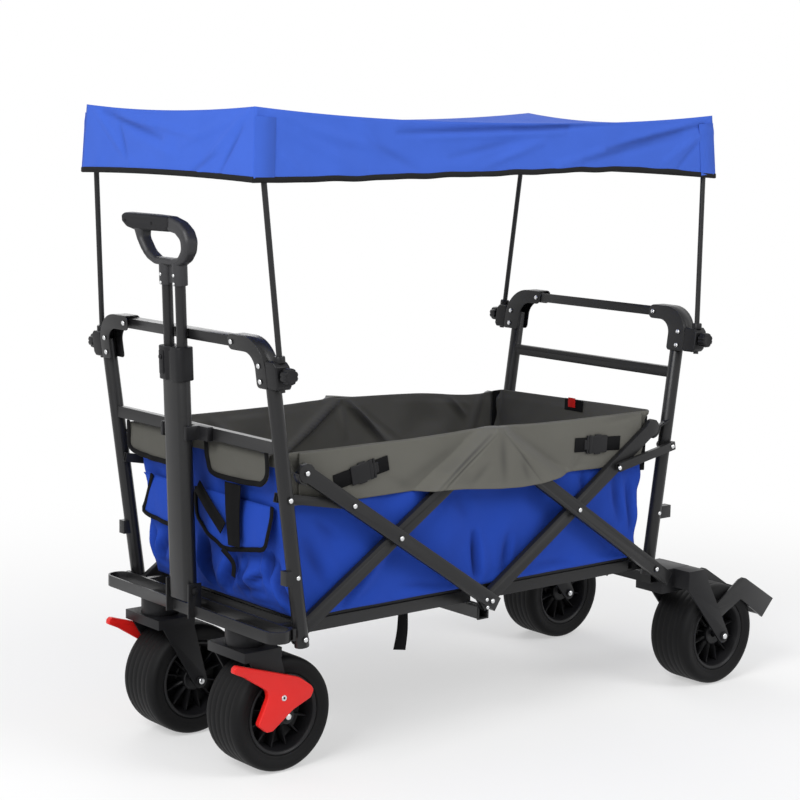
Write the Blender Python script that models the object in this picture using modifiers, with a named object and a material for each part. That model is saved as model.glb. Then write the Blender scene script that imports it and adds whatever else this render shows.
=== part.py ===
"""A folding camping cart with a canopy, a telescopic pull handle and a double-cross side frame.

Lengths are metres and +Z is up. The handle end is at -X, and the cart's left side is at -Y. Below,
"cart coordinates" have X = 0 at the middle of the side frame; the whole cart hangs under one empty
that moves it along X until its bounding box is centred on the origin.
"""
import math

import bmesh
import bpy
from mathutils import Matrix, Vector

# clearances and joining values
GAP = 0.0003
PIN_PLAY = 0.0004
MERGE = 0.0001
SINK = 0.002
SHARP_ANGLE = math.radians(50)

# wheels
WHEEL_RADIUS = 0.100
WHEEL_WIDTH = 0.096
WHEEL_SHOULDER = 0.012
RIM_RADIUS = WHEEL_RADIUS - 0.0225
RIM_WELL_RADIUS = WHEEL_RADIUS - 0.0300
RIM_FLOOR_RADIUS = WHEEL_RADIUS - 0.0360
RIM_INSET = 0.004
RIM_WEB_HALF = 0.011
HUB_RADIUS = 0.020
HUB_HALF = WHEEL_WIDTH / 2 - 0.008
AXLE_RADIUS = 0.005
AXLE_NUT_RADIUS = 0.009
AXLE_NUT_THICK = 0.004
RIB_COUNT = 8
RIB_THICK = 0.003
RIB_HALF = WHEEL_WIDTH / 2 - 0.018
WHEEL_STEPS = 20
WHEEL_TOP_Z = WHEEL_RADIUS * 2

# side frame: two crossed pairs of flat tubes on each side
HALF_SPAN = 0.425
LOW_PIVOT_Z = WHEEL_TOP_Z + 0.052
CROSS_RISE = 0.280
HOOK_INSET = 0.0105
LINK_PIN_INSET = 0.1097
ARM_HEIGHT = 0.026
ARM_THICK = 0.011
ARM_WALL = 0.0013
ARM_END = 0.016
ARM_TOE = 0.008
ARM_FOOT = 0.045
HOOK_CAP_RADIUS = 0.0165
INNER_ARM_Y = 0.229
LAYER_GAP = 0.001

# pins, rivet heads and bolts
PIN_RADIUS = 0.004
HEAD_RADIUS = 0.0065
HEAD_THICK = 0.0016
ROUND_STEPS = 12
PIN_STEPS = 8

# corner posts
POST_RADIUS = 0.0125
POST_WALL = 0.0015
POST_LEAN = 0.1415
POST_BOTTOM_Z = WHEEL_TOP_Z + 0.038
POST_TOP_Z = WHEEL_TOP_Z + 0.503
LINK_POST_Z = WHEEL_TOP_Z + 0.287
STOP_Z = WHEEL_TOP_Z + 0.157
STOP_HEIGHT = 0.024
STOP_WIDTH = 0.016
FRONT_STOP_REACH = 0.022
REAR_STOP_REACH = 0.036

# cross bars between the posts
BAR_HEIGHT = 0.020
BAR_DEPTH = 0.012
BAR_WALL = 0.0015
FRONT_BAR_Z = WHEEL_TOP_Z + 0.371
REAR_BAR_Z = WHEEL_TOP_Z + 0.426
REAR_FOOT_BAR_SIZE = 0.020
REAR_FOOT_BAR_Z = WHEEL_TOP_Z + 0.0275
VENT_RADIUS = 0.003

# push bars on the post tops, and their channel elbows
TOP_BAR_Z = WHEEL_TOP_Z + 0.538
TOP_BAR_HEIGHT = 0.018
TOP_BAR_DEPTH = 0.016
ELBOW_SKIN = 0.0018
ELBOW_BOTTOM_Z = WHEEL_TOP_Z + 0.468
ELBOW_REACH = 0.0725
ELBOW_BEND = 0.045
ELBOW_INNER_BEND = 0.024
ELBOW_ROUND = 5
ELBOW_RIVET_ZS = (WHEEL_TOP_Z + 0.480, WHEEL_TOP_Z + 0.5055)
ELBOW_RIVET_OFFSET = 0.0015
ELBOW_BAR_RIVET_INSET = 0.013
HOOK_THICK = 0.003
HOOK_SWEEP = 86
HOOK_ROUND = 6

# canopy poles, their clamps and knobs
POLE_RADIUS = 0.0048
POLE_TOP_Z = WHEEL_TOP_Z + 0.909
POLE_BOTTOM_Z = WHEEL_TOP_Z + 0.466
POLE_LEAN_X = 0.0735
POLE_LEAN_Y = 0.0625
CLAMP_Z = WHEEL_TOP_Z + 0.494
CLAMP_HEIGHT = 0.044
CLAMP_LENGTH = 0.026
CLAMP_POLE_INSET = 0.001
CLAMP_POLE_SKIN = 0.0026
CLAMP_OUTER_SKIN = 0.0047
KNOB_RADIUS = 0.0135
KNOB_LENGTH = 0.016
KNOB_STEM_RADIUS = 0.005
KNOB_STEM_LENGTH = 0.004
KNOB_FLUTES = 8
KNOB_FLUTE_RADIUS = 0.0027
KNOB_FLUTE_RING = 0.01485
KNOB_STEPS = 16
FLUTE_STEPS = 6

# canopy
CANOPY_END_PLAY = 0.003
CANOPY_SIDE_PLAY = 0.0009
CANOPY_CLOTH = 0.0022
CANOPY_SEAT = 0.0025
CANOPY_FLARE = 0.0068
CANOPY_DROP = 0.116
CANOPY_SIDE_SAG = 0.020
CANOPY_END_SAG = 0.008
CANOPY_HEM_RISE = 0.016
CANOPY_FOLD_DEPTH = 0.0022
CANOPY_FOLD_COUNT = 7
CANOPY_LONG_CELLS = 16
CANOPY_CROSS_CELLS = 8
CANOPY_DROP_CELLS = 3

# fabric tub
TUB_SIDE_PLAY = 0.0014
TUB_FABRIC = 0.003
TUB_FRONT_TOP_REACH = 0.027
TUB_FRONT_LOW_REACH = -0.017
TUB_REAR_TOP_REACH = 0.011
TUB_REAR_LOW_REACH = -0.023
TUB_RIM_Z = WHEEL_TOP_Z + 0.356
TUB_PEAK = 0.008
TUB_LONG_CELLS = 6
TUB_CROSS_CELLS = 2
TUB_RISE_CELLS = 2

# floor rails, boards and the centre cross tube
RAIL_THICK = 0.012
RAIL_HEIGHT = 0.021
RAIL_LIFT = 0.005
RAIL_WALL = 0.0013
RAIL_CENTRE_GAP = 0.019
RAIL_END = 0.012
FLOOR_CROSS_INSET = 0.033
FLOOR_CROSS_SIZE = 0.016
BOARD_THICK = 0.0075
BOARD_INSET = 0.023
BOARD_SIDE_LAP = 0.004
CENTRE_TUBE_DROP = 0.026
CENTRE_TUBE_SIZE = 0.022
CENTRE_TUBE_WALL = 0.0015
CENTRE_PLATE_THICK = 0.003
CENTRE_PLATE_TOP = 0.014

# front base: a flat band bent into a racetrack, with webs inside
LOOP_SIDE_REACH = 0.0145
LOOP_WIDTH = 0.0459
LOOP_BAND_Z = WHEEL_TOP_Z + 0.052
LOOP_BAND_HEIGHT = 0.020
LOOP_BAND_THICK = 0.003
LOOP_SADDLE_WIDTH = 0.016
LOOP_ROUND = 4
WEB_THICK = 0.004
WEB_HALF_WIDTH = 0.036
EAR_THICK = 0.003
EAR_LENGTH = 0.026
EAR_TOP = 0.013

# pull handle
PIVOT_Z = WHEEL_TOP_Z + 0.098
HANDLE_LEAN = 0.0389
OUTER_WIDTH = 0.062
OUTER_DEPTH = 0.026
OUTER_WALL = 0.0013
OUTER_START = -0.018
OUTER_END = 0.410
COLLAR_WALL = 0.0028
COLLAR_START = 0.360
COLLAR_LIP = 0.008
INNER_RADIUS = 0.0092
INNER_WALL = 0.0013
INNER_SPACING = 0.0395
INNER_START = 0.040
SLIDER_LENGTH = 0.028
GRIP_BOTTOM = 0.552
SLEEVE_LENGTH = 0.032
SLEEVE_WALL = 0.0032
SLEEVE_GRIP = 0.022
GRIP_THICK = 0.026
GRIP_HEIGHT = 0.083
CLIP_Z = WHEEL_TOP_Z + 0.371
CLIP_HEIGHT = 0.024
CLIP_HALF_WIDTH = 0.066
CLIP_PRONG = 0.008
CLIP_REACH = 0.024

# front casters
CASTER_REACH = 0.030
CASTER_TRAIL = 0.050
CASTER_Y = 0.130
HOUSING_RADIUS = 0.034
HOUSING_FLANGE = 0.062
HOUSING_FLANGE_THICK = 0.004
CROWN_BOTTOM_Z = WHEEL_TOP_Z + 0.005
CROWN_THICK = 0.017
CROWN_LENGTH = 0.076
STEM_RADIUS = 0.006
STEM_LENGTH = 0.022
HOUSING_STEPS = 16
FORK_THICK = 0.0045
FORK_PLAY = 0.002
FORK_EYE_RADIUS = 0.014
LEVER_THICK = 0.012
LEVER_LIFT = 0.039
LEVER_SETBACK = 0.019
LEVER_STUD_RADIUS = 0.005

# rear forks and brake pedals
REAR_AXLE_REACH = 0.1496
REAR_WHEEL_INSET = 0.0065
REAR_BLOCK_SETBACK = 0.0636
REAR_BLOCK_LOW_Z = WHEEL_TOP_Z - 0.004
REAR_BLOCK_TOP_Z = WHEEL_TOP_Z + 0.043
REAR_BLOCK_HALF_WIDTH = 0.050
REAR_CROWN_LENGTH = 0.043
REAR_CROWN_LOW_Z = WHEEL_TOP_Z + 0.006
PEDAL_THICK = 0.004
PEDAL_PLAY = 0.0022
PEDAL_PIVOT_SETBACK = 0.166
PEDAL_PIVOT_RISE = 1.52
PEDAL_TIP_REACH = 1.524
PEDAL_STEP = 0.003

LEFT = -1
RIGHT = 1
FRONT = -1
REAR = 1
SIDES = ((LEFT, "l"), (RIGHT, "r"))

# values that follow from the ones above
OUTER_ARM_Y = INNER_ARM_Y + ARM_THICK + LAYER_GAP
FRONT_POST_Y = INNER_ARM_Y + ARM_THICK / 2 + LAYER_GAP / 2 + POST_RADIUS
REAR_POST_Y = OUTER_ARM_Y - ARM_THICK / 2 - LAYER_GAP / 2 - POST_RADIUS
HOOK_X = HALF_SPAN - HOOK_INSET
LINK_PIN_X = HALF_SPAN - LINK_PIN_INSET
ELBOW_RIVET_Y = (FRONT_POST_Y + REAR_POST_Y) / 2 - ELBOW_RIVET_OFFSET
ELBOW_END_Y = REAR_POST_Y - ELBOW_REACH
ELBOW_BAR_RIVET_Y = ELBOW_END_Y + ELBOW_BAR_RIVET_INSET
ARM_SLOPE = CROSS_RISE / HALF_SPAN
HIGH_PIVOT_Z = LOW_PIVOT_Z + CROSS_RISE
RAIL_Z = LOW_PIVOT_Z + RAIL_LIFT
RAIL_Y = REAR_POST_Y - POST_RADIUS - RAIL_THICK / 2 - LAYER_GAP
FLOOR_CROSS_X = HALF_SPAN - FLOOR_CROSS_INSET
BOARD_OUTER_X = HALF_SPAN - BOARD_INSET
BOARD_HALF_WIDTH = RAIL_Y + BOARD_SIDE_LAP
BOARD_Z = RAIL_Z + RAIL_HEIGHT / 2 + GAP
TUB_FLOOR_Z = BOARD_Z + BOARD_THICK + GAP
TUB_HALF_WIDTH = INNER_ARM_Y - ARM_THICK / 2 - HEAD_THICK - TUB_SIDE_PLAY
TUB_FRONT_TOP_X = -(HALF_SPAN + TUB_FRONT_TOP_REACH)
TUB_FRONT_LOW_X = -(HALF_SPAN + TUB_FRONT_LOW_REACH)
TUB_REAR_TOP_X = HALF_SPAN + TUB_REAR_TOP_REACH
TUB_REAR_LOW_X = HALF_SPAN + TUB_REAR_LOW_REACH
CENTRE_PLATE_Y = INNER_ARM_Y - ARM_THICK / 2 - GAP
RAIL_SWING = math.hypot(RAIL_END, RAIL_LIFT + RAIL_HEIGHT / 2)
LOOP_BACK_X = HALF_SPAN + RAIL_SWING + LAYER_GAP
LOOP_FRONT_X = LOOP_BACK_X + LOOP_WIDTH
LOOP_HALF_LENGTH = FRONT_POST_Y + LOOP_SIDE_REACH
LOOP_CORNER = LOOP_WIDTH / 2 - LAYER_GAP / 2
CASTER_X = -(HALF_SPAN + CASTER_REACH)
FRONT_AXLE_X = CASTER_X + CASTER_TRAIL
LEVER_X = FRONT_AXLE_X - LEVER_SETBACK
PIVOT_X = -LOOP_FRONT_X
FORK_INNER = WHEEL_WIDTH / 2 + FORK_PLAY
FOOT_BAR_POST_X = HALF_SPAN + (REAR_FOOT_BAR_Z - LOW_PIVOT_Z) * POST_LEAN
REAR_FOOT_BAR_X = FOOT_BAR_POST_X + POST_RADIUS + REAR_FOOT_BAR_SIZE / 2
REAR_AXLE_X = REAR_FOOT_BAR_X + REAR_AXLE_REACH
REAR_WHEEL_Y = REAR_POST_Y - REAR_WHEEL_INSET
REAR_BLOCK_END_X = REAR_AXLE_X - REAR_BLOCK_SETBACK
REAR_BLOCK_INNER_Y = REAR_WHEEL_Y - REAR_BLOCK_HALF_WIDTH
REAR_CROWN_X = REAR_BLOCK_END_X - REAR_CROWN_LENGTH
PEDAL_PIVOT_X = REAR_AXLE_X - PEDAL_PIVOT_SETBACK * WHEEL_RADIUS
PEDAL_PIVOT_Z = PEDAL_PIVOT_RISE * WHEEL_RADIUS
PEDAL_TIP_X = REAR_AXLE_X + PEDAL_TIP_REACH * WHEEL_RADIUS
CLAMP_POLE_X = HALF_SPAN + (CLAMP_Z - LOW_PIVOT_Z) * POST_LEAN - CLAMP_POLE_INSET
CLAMP_POLE_Y = FRONT_POST_Y + POST_RADIUS + GAP + ELBOW_SKIN + POLE_RADIUS + CLAMP_POLE_SKIN
CLAMP_OUTER_Y = CLAMP_POLE_Y + POLE_RADIUS + CLAMP_OUTER_SKIN
POLE_RISE = POLE_TOP_Z - CLAMP_Z
CANOPY_EDGE = POLE_RADIUS + CANOPY_CLOTH
CANOPY_HALF_LENGTH = CLAMP_POLE_X + POLE_RISE * POLE_LEAN_X + CANOPY_EDGE + CANOPY_END_PLAY
CANOPY_HALF_WIDTH = CLAMP_POLE_Y - POLE_RISE * POLE_LEAN_Y + CANOPY_EDGE + CANOPY_SIDE_PLAY
HANDLE_SLOPE = math.sqrt(1 + HANDLE_LEAN**2)
GRIP_REACH = ((GRIP_BOTTOM + GRIP_HEIGHT) * HANDLE_LEAN + GRIP_THICK / 2) / HANDLE_SLOPE
CART_REACH_FRONT = max(GRIP_REACH - PIVOT_X, CANOPY_HALF_LENGTH)
CENTRE_SHIFT = (CART_REACH_FRONT - PEDAL_TIP_X) / 2

STEEL = ("powder_coated_steel", (0.044, 0.045, 0.047), 0.5, 0.3)
PLASTIC = ("black_plastic", (0.028, 0.028, 0.029), 0.55, 0.0)
RUBBER = ("tyre_rubber", (0.020, 0.021, 0.021), 0.8, 0.0)
RED_PLASTIC = ("red_plastic", (0.76, 0.024, 0.020), 0.4, 0.0)
CANOPY_BLUE = ("canopy_fabric", (0.075, 0.165, 0.65), 0.85, 0.0)
TUB_BLUE = ("tub_fabric", (0.040, 0.095, 0.45), 0.85, 0.0)
BOARD_GREY = ("floor_board", (0.05, 0.05, 0.05), 0.8, 0.0)


def start_scene():
    """Clear the scene and make the cart's collections and its centring empty."""
    for thing in list(bpy.data.objects):
        bpy.data.objects.remove(thing, do_unlink=True)
    root = bpy.context.scene.collection
    for name in ("camping_cart", "cutters"):
        root.children.link(bpy.data.collections.new(name))
    centre = bpy.data.objects.new("cart_centre", None)
    centre.location = (CENTRE_SHIFT, 0, 0)
    bpy.data.collections["camping_cart"].objects.link(centre)


def material(look):
    """The Principled material for a (name, colour, roughness, metallic) look."""
    name, colour, roughness, metallic = look
    found = bpy.data.materials.get(name)
    if found:
        return found
    made = bpy.data.materials.new(name)
    made.use_nodes = True
    shader = made.node_tree.nodes["Principled BSDF"]
    shader.inputs["Base Color"].default_value = (*colour, 1)
    shader.inputs["Roughness"].default_value = roughness
    shader.inputs["Metallic"].default_value = metallic
    return made


def add_object(name, data):
    """Put new object data, drawn in cart coordinates, under the centring empty."""
    made = bpy.data.objects.new(name, data)
    bpy.data.collections["cutters"].objects.link(made)
    made.parent = bpy.data.objects["cart_centre"]
    made.hide_render = True
    made.display_type = "WIRE"
    return made


def from_bmesh(name, bm):
    """An object made of a bmesh, which is freed."""
    mesh = bpy.data.meshes.new(name)
    bm.to_mesh(mesh)
    bm.free()
    mesh.shade_smooth()
    mesh.set_sharp_from_angle(angle=SHARP_ANGLE)
    return add_object(name, mesh)


def finish(thing, name, look, pivot):
    """Make an object one of the cart's parts, with its origin at its pivot."""
    pivot = Vector(pivot)
    thing.name = name
    thing.data.name = name
    thing.data.transform(Matrix.Translation(-pivot))
    thing.location = pivot
    thing.data.materials.clear()
    thing.data.materials.append(material(look))
    bpy.data.collections["cutters"].objects.unlink(thing)
    bpy.data.collections["camping_cart"].objects.link(thing)
    thing.hide_render = False
    thing.display_type = "TEXTURED"
    return thing


def boolean(thing, tools, operation):
    """Add one exact Boolean modifier for each tool."""
    for tool in tools:
        step = thing.modifiers.new(operation.lower() + "_" + tool.name, "BOOLEAN")
        step.operation = operation
        step.solver = "EXACT"
        step.object = tool
    return thing


def fuse(thing, *tools):
    return boolean(thing, tools, "UNION")


def cut(thing, *tools):
    return boolean(thing, tools, "DIFFERENCE")


def solidify(thing, thickness):
    """Give an open surface a wall on its inner side."""
    wall = thing.modifiers.new("wall", "SOLIDIFY")
    wall.thickness = thickness
    wall.offset = -1
    wall.use_even_offset = True
    return thing


def aim(start, end, up=(0, 0, 1)):
    """A frame at start whose X axis runs to end and whose Z axis leans towards up."""
    along = (Vector(end) - Vector(start)).normalized()
    across = Vector(up).cross(along).normalized()
    above = along.cross(across)
    turn = Matrix((along, across, above)).transposed().to_4x4()
    return Matrix.Translation(start) @ turn


def block(name, size, centre, turn=None):
    """A box of the given size about its centre."""
    bm = bmesh.new()
    bmesh.ops.create_cube(bm, size=1)
    where = Matrix.Translation(centre) @ (turn or Matrix.Identity(4)) @ Matrix.Diagonal((*size, 1))
    bm.transform(where)
    return from_bmesh(name, bm)


def span_block(name, low, high):
    """A box between two opposite corners, given in any order."""
    low, high = Vector(low), Vector(high)
    size = [abs(a - b) for a, b in zip(low, high)]
    return block(name, size, (low + high) / 2)


def rod(name, radius, start, end, steps=ROUND_STEPS):
    """A solid round bar."""
    start, end = Vector(start), Vector(end)
    bm = bmesh.new()
    length = (end - start).length
    bmesh.ops.create_cone(
        bm, cap_ends=True, segments=steps, radius1=radius, radius2=radius, depth=length
    )
    turn = (end - start).to_track_quat("Z", "X").to_matrix().to_4x4()
    bm.transform(Matrix.Translation((start + end) / 2) @ turn)
    return from_bmesh(name, bm)


def pipe(name, radius, wall, start, end, steps=ROUND_STEPS):
    """A round tube with open ends."""
    start, end = Vector(start), Vector(end)
    bm = bmesh.new()
    length = (end - start).length
    bmesh.ops.create_cone(
        bm, cap_ends=False, segments=steps, radius1=radius, radius2=radius, depth=length
    )
    turn = (end - start).to_track_quat("Z", "X").to_matrix().to_4x4()
    bm.transform(Matrix.Translation((start + end) / 2) @ turn)
    return solidify(from_bmesh(name, bm), wall)


def box_tube(name, start, end, height, width, wall, up=(0, 0, 1)):
    """A rectangular tube with open ends: its height is measured towards up."""
    length = (Vector(end) - Vector(start)).length
    bm = bmesh.new()
    bmesh.ops.create_cube(bm, size=1)
    ends = [face for face in bm.faces if abs(face.normal.x) > 0.5]
    bmesh.ops.delete(bm, geom=ends, context="FACES_ONLY")
    size = Matrix.Diagonal((length, width, height, 1))
    bm.transform(aim(start, end, up) @ Matrix.Translation((length / 2, 0, 0)) @ size)
    return solidify(from_bmesh(name, bm), wall)


def plate(name, outlines, thickness, where):
    """A flat plate: closed outlines in the local XY plane, holes among them, made a mesh."""
    curve = bpy.data.curves.new(name, "CURVE")
    curve.dimensions = "2D"
    curve.fill_mode = "BOTH"
    curve.extrude = thickness / 2
    for outline in outlines:
        spline = curve.splines.new("POLY")
        spline.points.add(len(outline) - 1)
        for point, (x, y) in zip(spline.points, outline):
            point.co = (x, y, 0, 1)
        spline.use_cyclic_u = True
    guide = bpy.data.objects.new(name, curve)
    bpy.context.scene.collection.objects.link(guide)
    shape = guide.evaluated_get(bpy.context.evaluated_depsgraph_get())
    mesh = bpy.data.meshes.new_from_object(shape)
    bpy.data.objects.remove(guide)
    bpy.data.curves.remove(curve)
    bm = bmesh.new()
    bm.from_mesh(mesh)
    bpy.data.meshes.remove(mesh)
    bmesh.ops.remove_doubles(bm, verts=bm.verts, dist=MERGE)
    bmesh.ops.recalc_face_normals(bm, faces=bm.faces)
    bm.transform(where)
    return from_bmesh(name, bm)


def turned(name, profile, where, steps):
    """A ring turned about the local Z axis from a closed (radius, height) profile.

    The profile runs down its outer side and back up its bore.
    """
    bm = bmesh.new()
    points = [bm.verts.new((radius, 0, height)) for radius, height in profile]
    for first, second in zip(points, points[1:] + points[:1]):
        bm.edges.new((first, second))
    made = from_bmesh(name, bm)
    turn = made.modifiers.new("turn", "SCREW")
    turn.steps = steps
    turn.render_steps = steps
    turn.use_merge_vertices = True
    turn.merge_threshold = MERGE
    turn.use_smooth_shade = True
    made.matrix_local = where
    return made


def arc(centre, radius, start, end, steps):
    """Points on an arc, the angles in degrees."""
    turns = [math.radians(start + (end - start) * i / steps) for i in range(steps + 1)]
    return [(centre[0] + radius * math.cos(a), centre[1] + radius * math.sin(a)) for a in turns]


def side_view(y):
    """A frame whose local X and Y are the cart's X and Z, at a distance y across."""
    turn = Matrix(((1, 0, 0), (0, 0, -1), (0, 1, 0))).to_4x4()
    return Matrix.Translation((0, y, 0)) @ turn


def post_x(z):
    """How far a post's centre line lies from the middle of the side frame at a height."""
    return HALF_SPAN + (z - LOW_PIVOT_Z) * POST_LEAN


def arm_z(x):
    """The height of a falling arm's centre line at a distance from the middle."""
    return LOW_PIVOT_Z + abs(x) * ARM_SLOPE


def cross_pin(name, x, z, side, inner, outer, heads=(True, True)):
    """A rivet across the side frame, with heads past its inner and outer ends."""
    pin = rod(name, PIN_RADIUS, (x, side * inner, z), (x, side * outer, z), PIN_STEPS)
    for there, end, way in ((heads[0], inner, -1), (heads[1], outer, 1)):
        if there:
            near = (x, side * (end - way * MERGE), z)
            far = (x, side * (end + way * HEAD_THICK), z)
            fuse(pin, rod(name + "_head", HEAD_RADIUS, near, far, PIN_STEPS))
    return pin


def cross_hole(name, x, z, side, inner, outer):
    """A cutter for a rivet hole, longer than the wall that it goes through."""
    start = (x, side * (inner - SINK), z)
    end = (x, side * (outer + SINK), z)
    return rod(name, PIN_RADIUS + PIN_PLAY, start, end, PIN_STEPS)


def flat_arm(name, side, y, start, end, reach_start, reach_end):
    """One straight side arm between two pivots, with its tube running past both."""
    start = Vector((start[0], side * y, start[1]))
    end = Vector((end[0], side * y, end[1]))
    along = (end - start).normalized()
    return box_tube(
        name,
        start - along * reach_start,
        end + along * reach_end,
        ARM_HEIGHT,
        ARM_THICK,
        ARM_WALL,
    )


def hook_cap(name, x, z, side, y):
    """The round plastic end of an arm that rests in a hook."""
    near = (x, side * (y - ARM_THICK / 2), z)
    far = (x, side * (y + ARM_THICK / 2), z)
    return rod(name, HOOK_CAP_RADIUS, near, far)


def side_arms(side, tag):
    """The four arms of one side: a and c lie outside, b and d inside."""
    in_face = INNER_ARM_Y - ARM_THICK / 2
    in_back = INNER_ARM_Y + ARM_THICK / 2
    out_face = OUTER_ARM_Y - ARM_THICK / 2
    out_back = OUTER_ARM_Y + ARM_THICK / 2
    cross_x = HALF_SPAN / 2
    cross_z = arm_z(cross_x)
    low_front = (-HALF_SPAN, LOW_PIVOT_Z)
    low_rear = (HALF_SPAN, LOW_PIVOT_Z)
    low_centre = (0, LOW_PIVOT_Z)
    high_centre = (0, HIGH_PIVOT_Z)
    hook_z = arm_z(HOOK_X)
    link_z = arm_z(LINK_PIN_X)
    plate_face = CENTRE_PLATE_Y - CENTRE_PLATE_THICK - GAP

    arm_a = flat_arm("arm_a_tube", side, OUTER_ARM_Y, low_centre, (-HOOK_X, hook_z), ARM_END, 0)
    fuse(
        arm_a,
        hook_cap("arm_a_cap", -HOOK_X, hook_z, side, OUTER_ARM_Y),
        cross_pin("arm_a_end", -HOOK_X, hook_z, side, out_face, out_back, (False, True)),
        cross_pin("arm_a_link", -LINK_PIN_X, link_z, side, out_face, out_back, (False, True)),
        cross_pin("arm_a_cross", -cross_x, cross_z, side, in_face - GAP, out_back),
        cross_pin("arm_a_foot", 0, LOW_PIVOT_Z, side, plate_face, out_back),
    )
    finish(arm_a, "arm_a_" + tag, STEEL, (-cross_x, side * OUTER_ARM_Y, cross_z))

    arm_b = flat_arm("arm_b_tube", side, INNER_ARM_Y, low_front, high_centre, ARM_TOE, ARM_END)
    cut(
        arm_b,
        cross_hole("arm_b_low", *low_front, side, in_face, in_back),
        cross_hole("arm_b_cross", -cross_x, cross_z, side, in_face, in_back),
        cross_hole("arm_b_high", *high_centre, side, in_face, in_back),
    )
    finish(arm_b, "arm_b_" + tag, STEEL, (low_front[0], side * INNER_ARM_Y, low_front[1]))

    arm_c = flat_arm("arm_c_tube", side, OUTER_ARM_Y, high_centre, low_rear, ARM_END, ARM_FOOT)
    cut(arm_c, cross_hole("arm_c_low", *low_rear, side, out_face, out_back))
    fuse(
        arm_c,
        cross_pin("arm_c_cross", cross_x, cross_z, side, in_face - GAP, out_back),
        cross_pin("arm_c_high", *high_centre, side, in_face - GAP, out_back),
    )
    finish(arm_c, "arm_c_" + tag, STEEL, (0, side * OUTER_ARM_Y, HIGH_PIVOT_Z))

    arm_d = flat_arm("arm_d_tube", side, INNER_ARM_Y, low_centre, (HOOK_X, hook_z), ARM_END, 0)
    fuse(
        arm_d,
        hook_cap("arm_d_cap", HOOK_X, hook_z, side, INNER_ARM_Y),
        cross_pin("arm_d_end", HOOK_X, hook_z, side, in_face, in_back, (True, False)),
        cross_pin("arm_d_link", LINK_PIN_X, link_z, side, in_face, in_back, (True, False)),
    )
    cut(
        arm_d,
        cross_hole("arm_d_low", *low_centre, side, in_face, in_back),
        cross_hole("arm_d_cross", cross_x, cross_z, side, in_face, in_back),
    )
    finish(arm_d, "arm_d_" + tag, STEEL, (cross_x, side * INNER_ARM_Y, cross_z))


def guide_links(side, tag):
    """The short links that guide the arms' hooked ends, one from each post."""
    post = post_x(LINK_POST_Z)
    tip_z = arm_z(LINK_PIN_X)
    for end, word, y, reach in (
        (FRONT, "front", INNER_ARM_Y, FRONT_POST_Y + POST_RADIUS + GAP),
        (REAR, "rear", OUTER_ARM_Y, REAR_POST_Y - POST_RADIUS - GAP),
    ):
        start = Vector((end * post, side * y, LINK_POST_Z))
        tip = Vector((end * LINK_PIN_X, side * y, tip_z))
        along = (tip - start).normalized()
        tail = start - along * PIN_RADIUS * 2
        link = box_tube("link_tube", tail, tip, ARM_END, ARM_THICK - SINK, ARM_WALL)
        near, far = sorted((y, reach))
        pin = cross_pin("link_pin", start.x, start.z, side, near, far, (end == REAR, end == FRONT))
        fuse(link, pin)
        finish(link, f"link_{word}_{tag}", STEEL, start)


def hook(name, end, side, y):
    """A strip that leaves a post and curves under an arm's round end cap."""
    x, z = end * HOOK_X, arm_z(HOOK_X)
    inner = HOOK_CAP_RADIUS + GAP * 2
    outer = inner + HOOK_THICK
    start = 180 if end == FRONT else 0
    stop = 180 + HOOK_SWEEP if end == FRONT else -HOOK_SWEEP
    top = z + HOOK_CAP_RADIUS
    low = top - HOOK_THICK * 2
    outline = [(end * post_x(top), top), *arc((x, z), inner, start, stop, HOOK_ROUND)]
    outline += [*arc((x, z), outer, stop, start, HOOK_ROUND), (end * post_x(low), low)]
    return plate(name, [outline], ARM_THICK, side_view(side * y))


def post(name, end, side, y):
    """One leaning corner post."""
    low = (end * post_x(POST_BOTTOM_Z), side * y, POST_BOTTOM_Z)
    high = (end * post_x(POST_TOP_Z), side * y, POST_TOP_Z)
    return pipe(name, POST_RADIUS, POST_WALL, low, high)


def cross_bar(name, end, y, z, height, depth, x=None):
    """A rectangular bar between two posts, vented so that its inside is not sealed."""
    x = end * post_x(z) if x is None else x
    bar = box_tube(name, (x, -y, z), (x, y, z), height, depth, BAR_WALL)
    vent = rod(name + "_vent", VENT_RADIUS, (x, 0, z - height), (x, 0, z), FLUTE_STEPS)
    return cut(bar, vent)


def stop_block(name, end, side, y, reach):
    """The plastic block that sticks out of a post's lower half."""
    x = end * post_x(STOP_Z)
    low = (x, side * y - STOP_WIDTH / 2, STOP_Z - STOP_HEIGHT / 2)
    high = (x + end * reach, side * y + STOP_WIDTH / 2, STOP_Z + STOP_HEIGHT / 2)
    return span_block(name, low, high)


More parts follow.
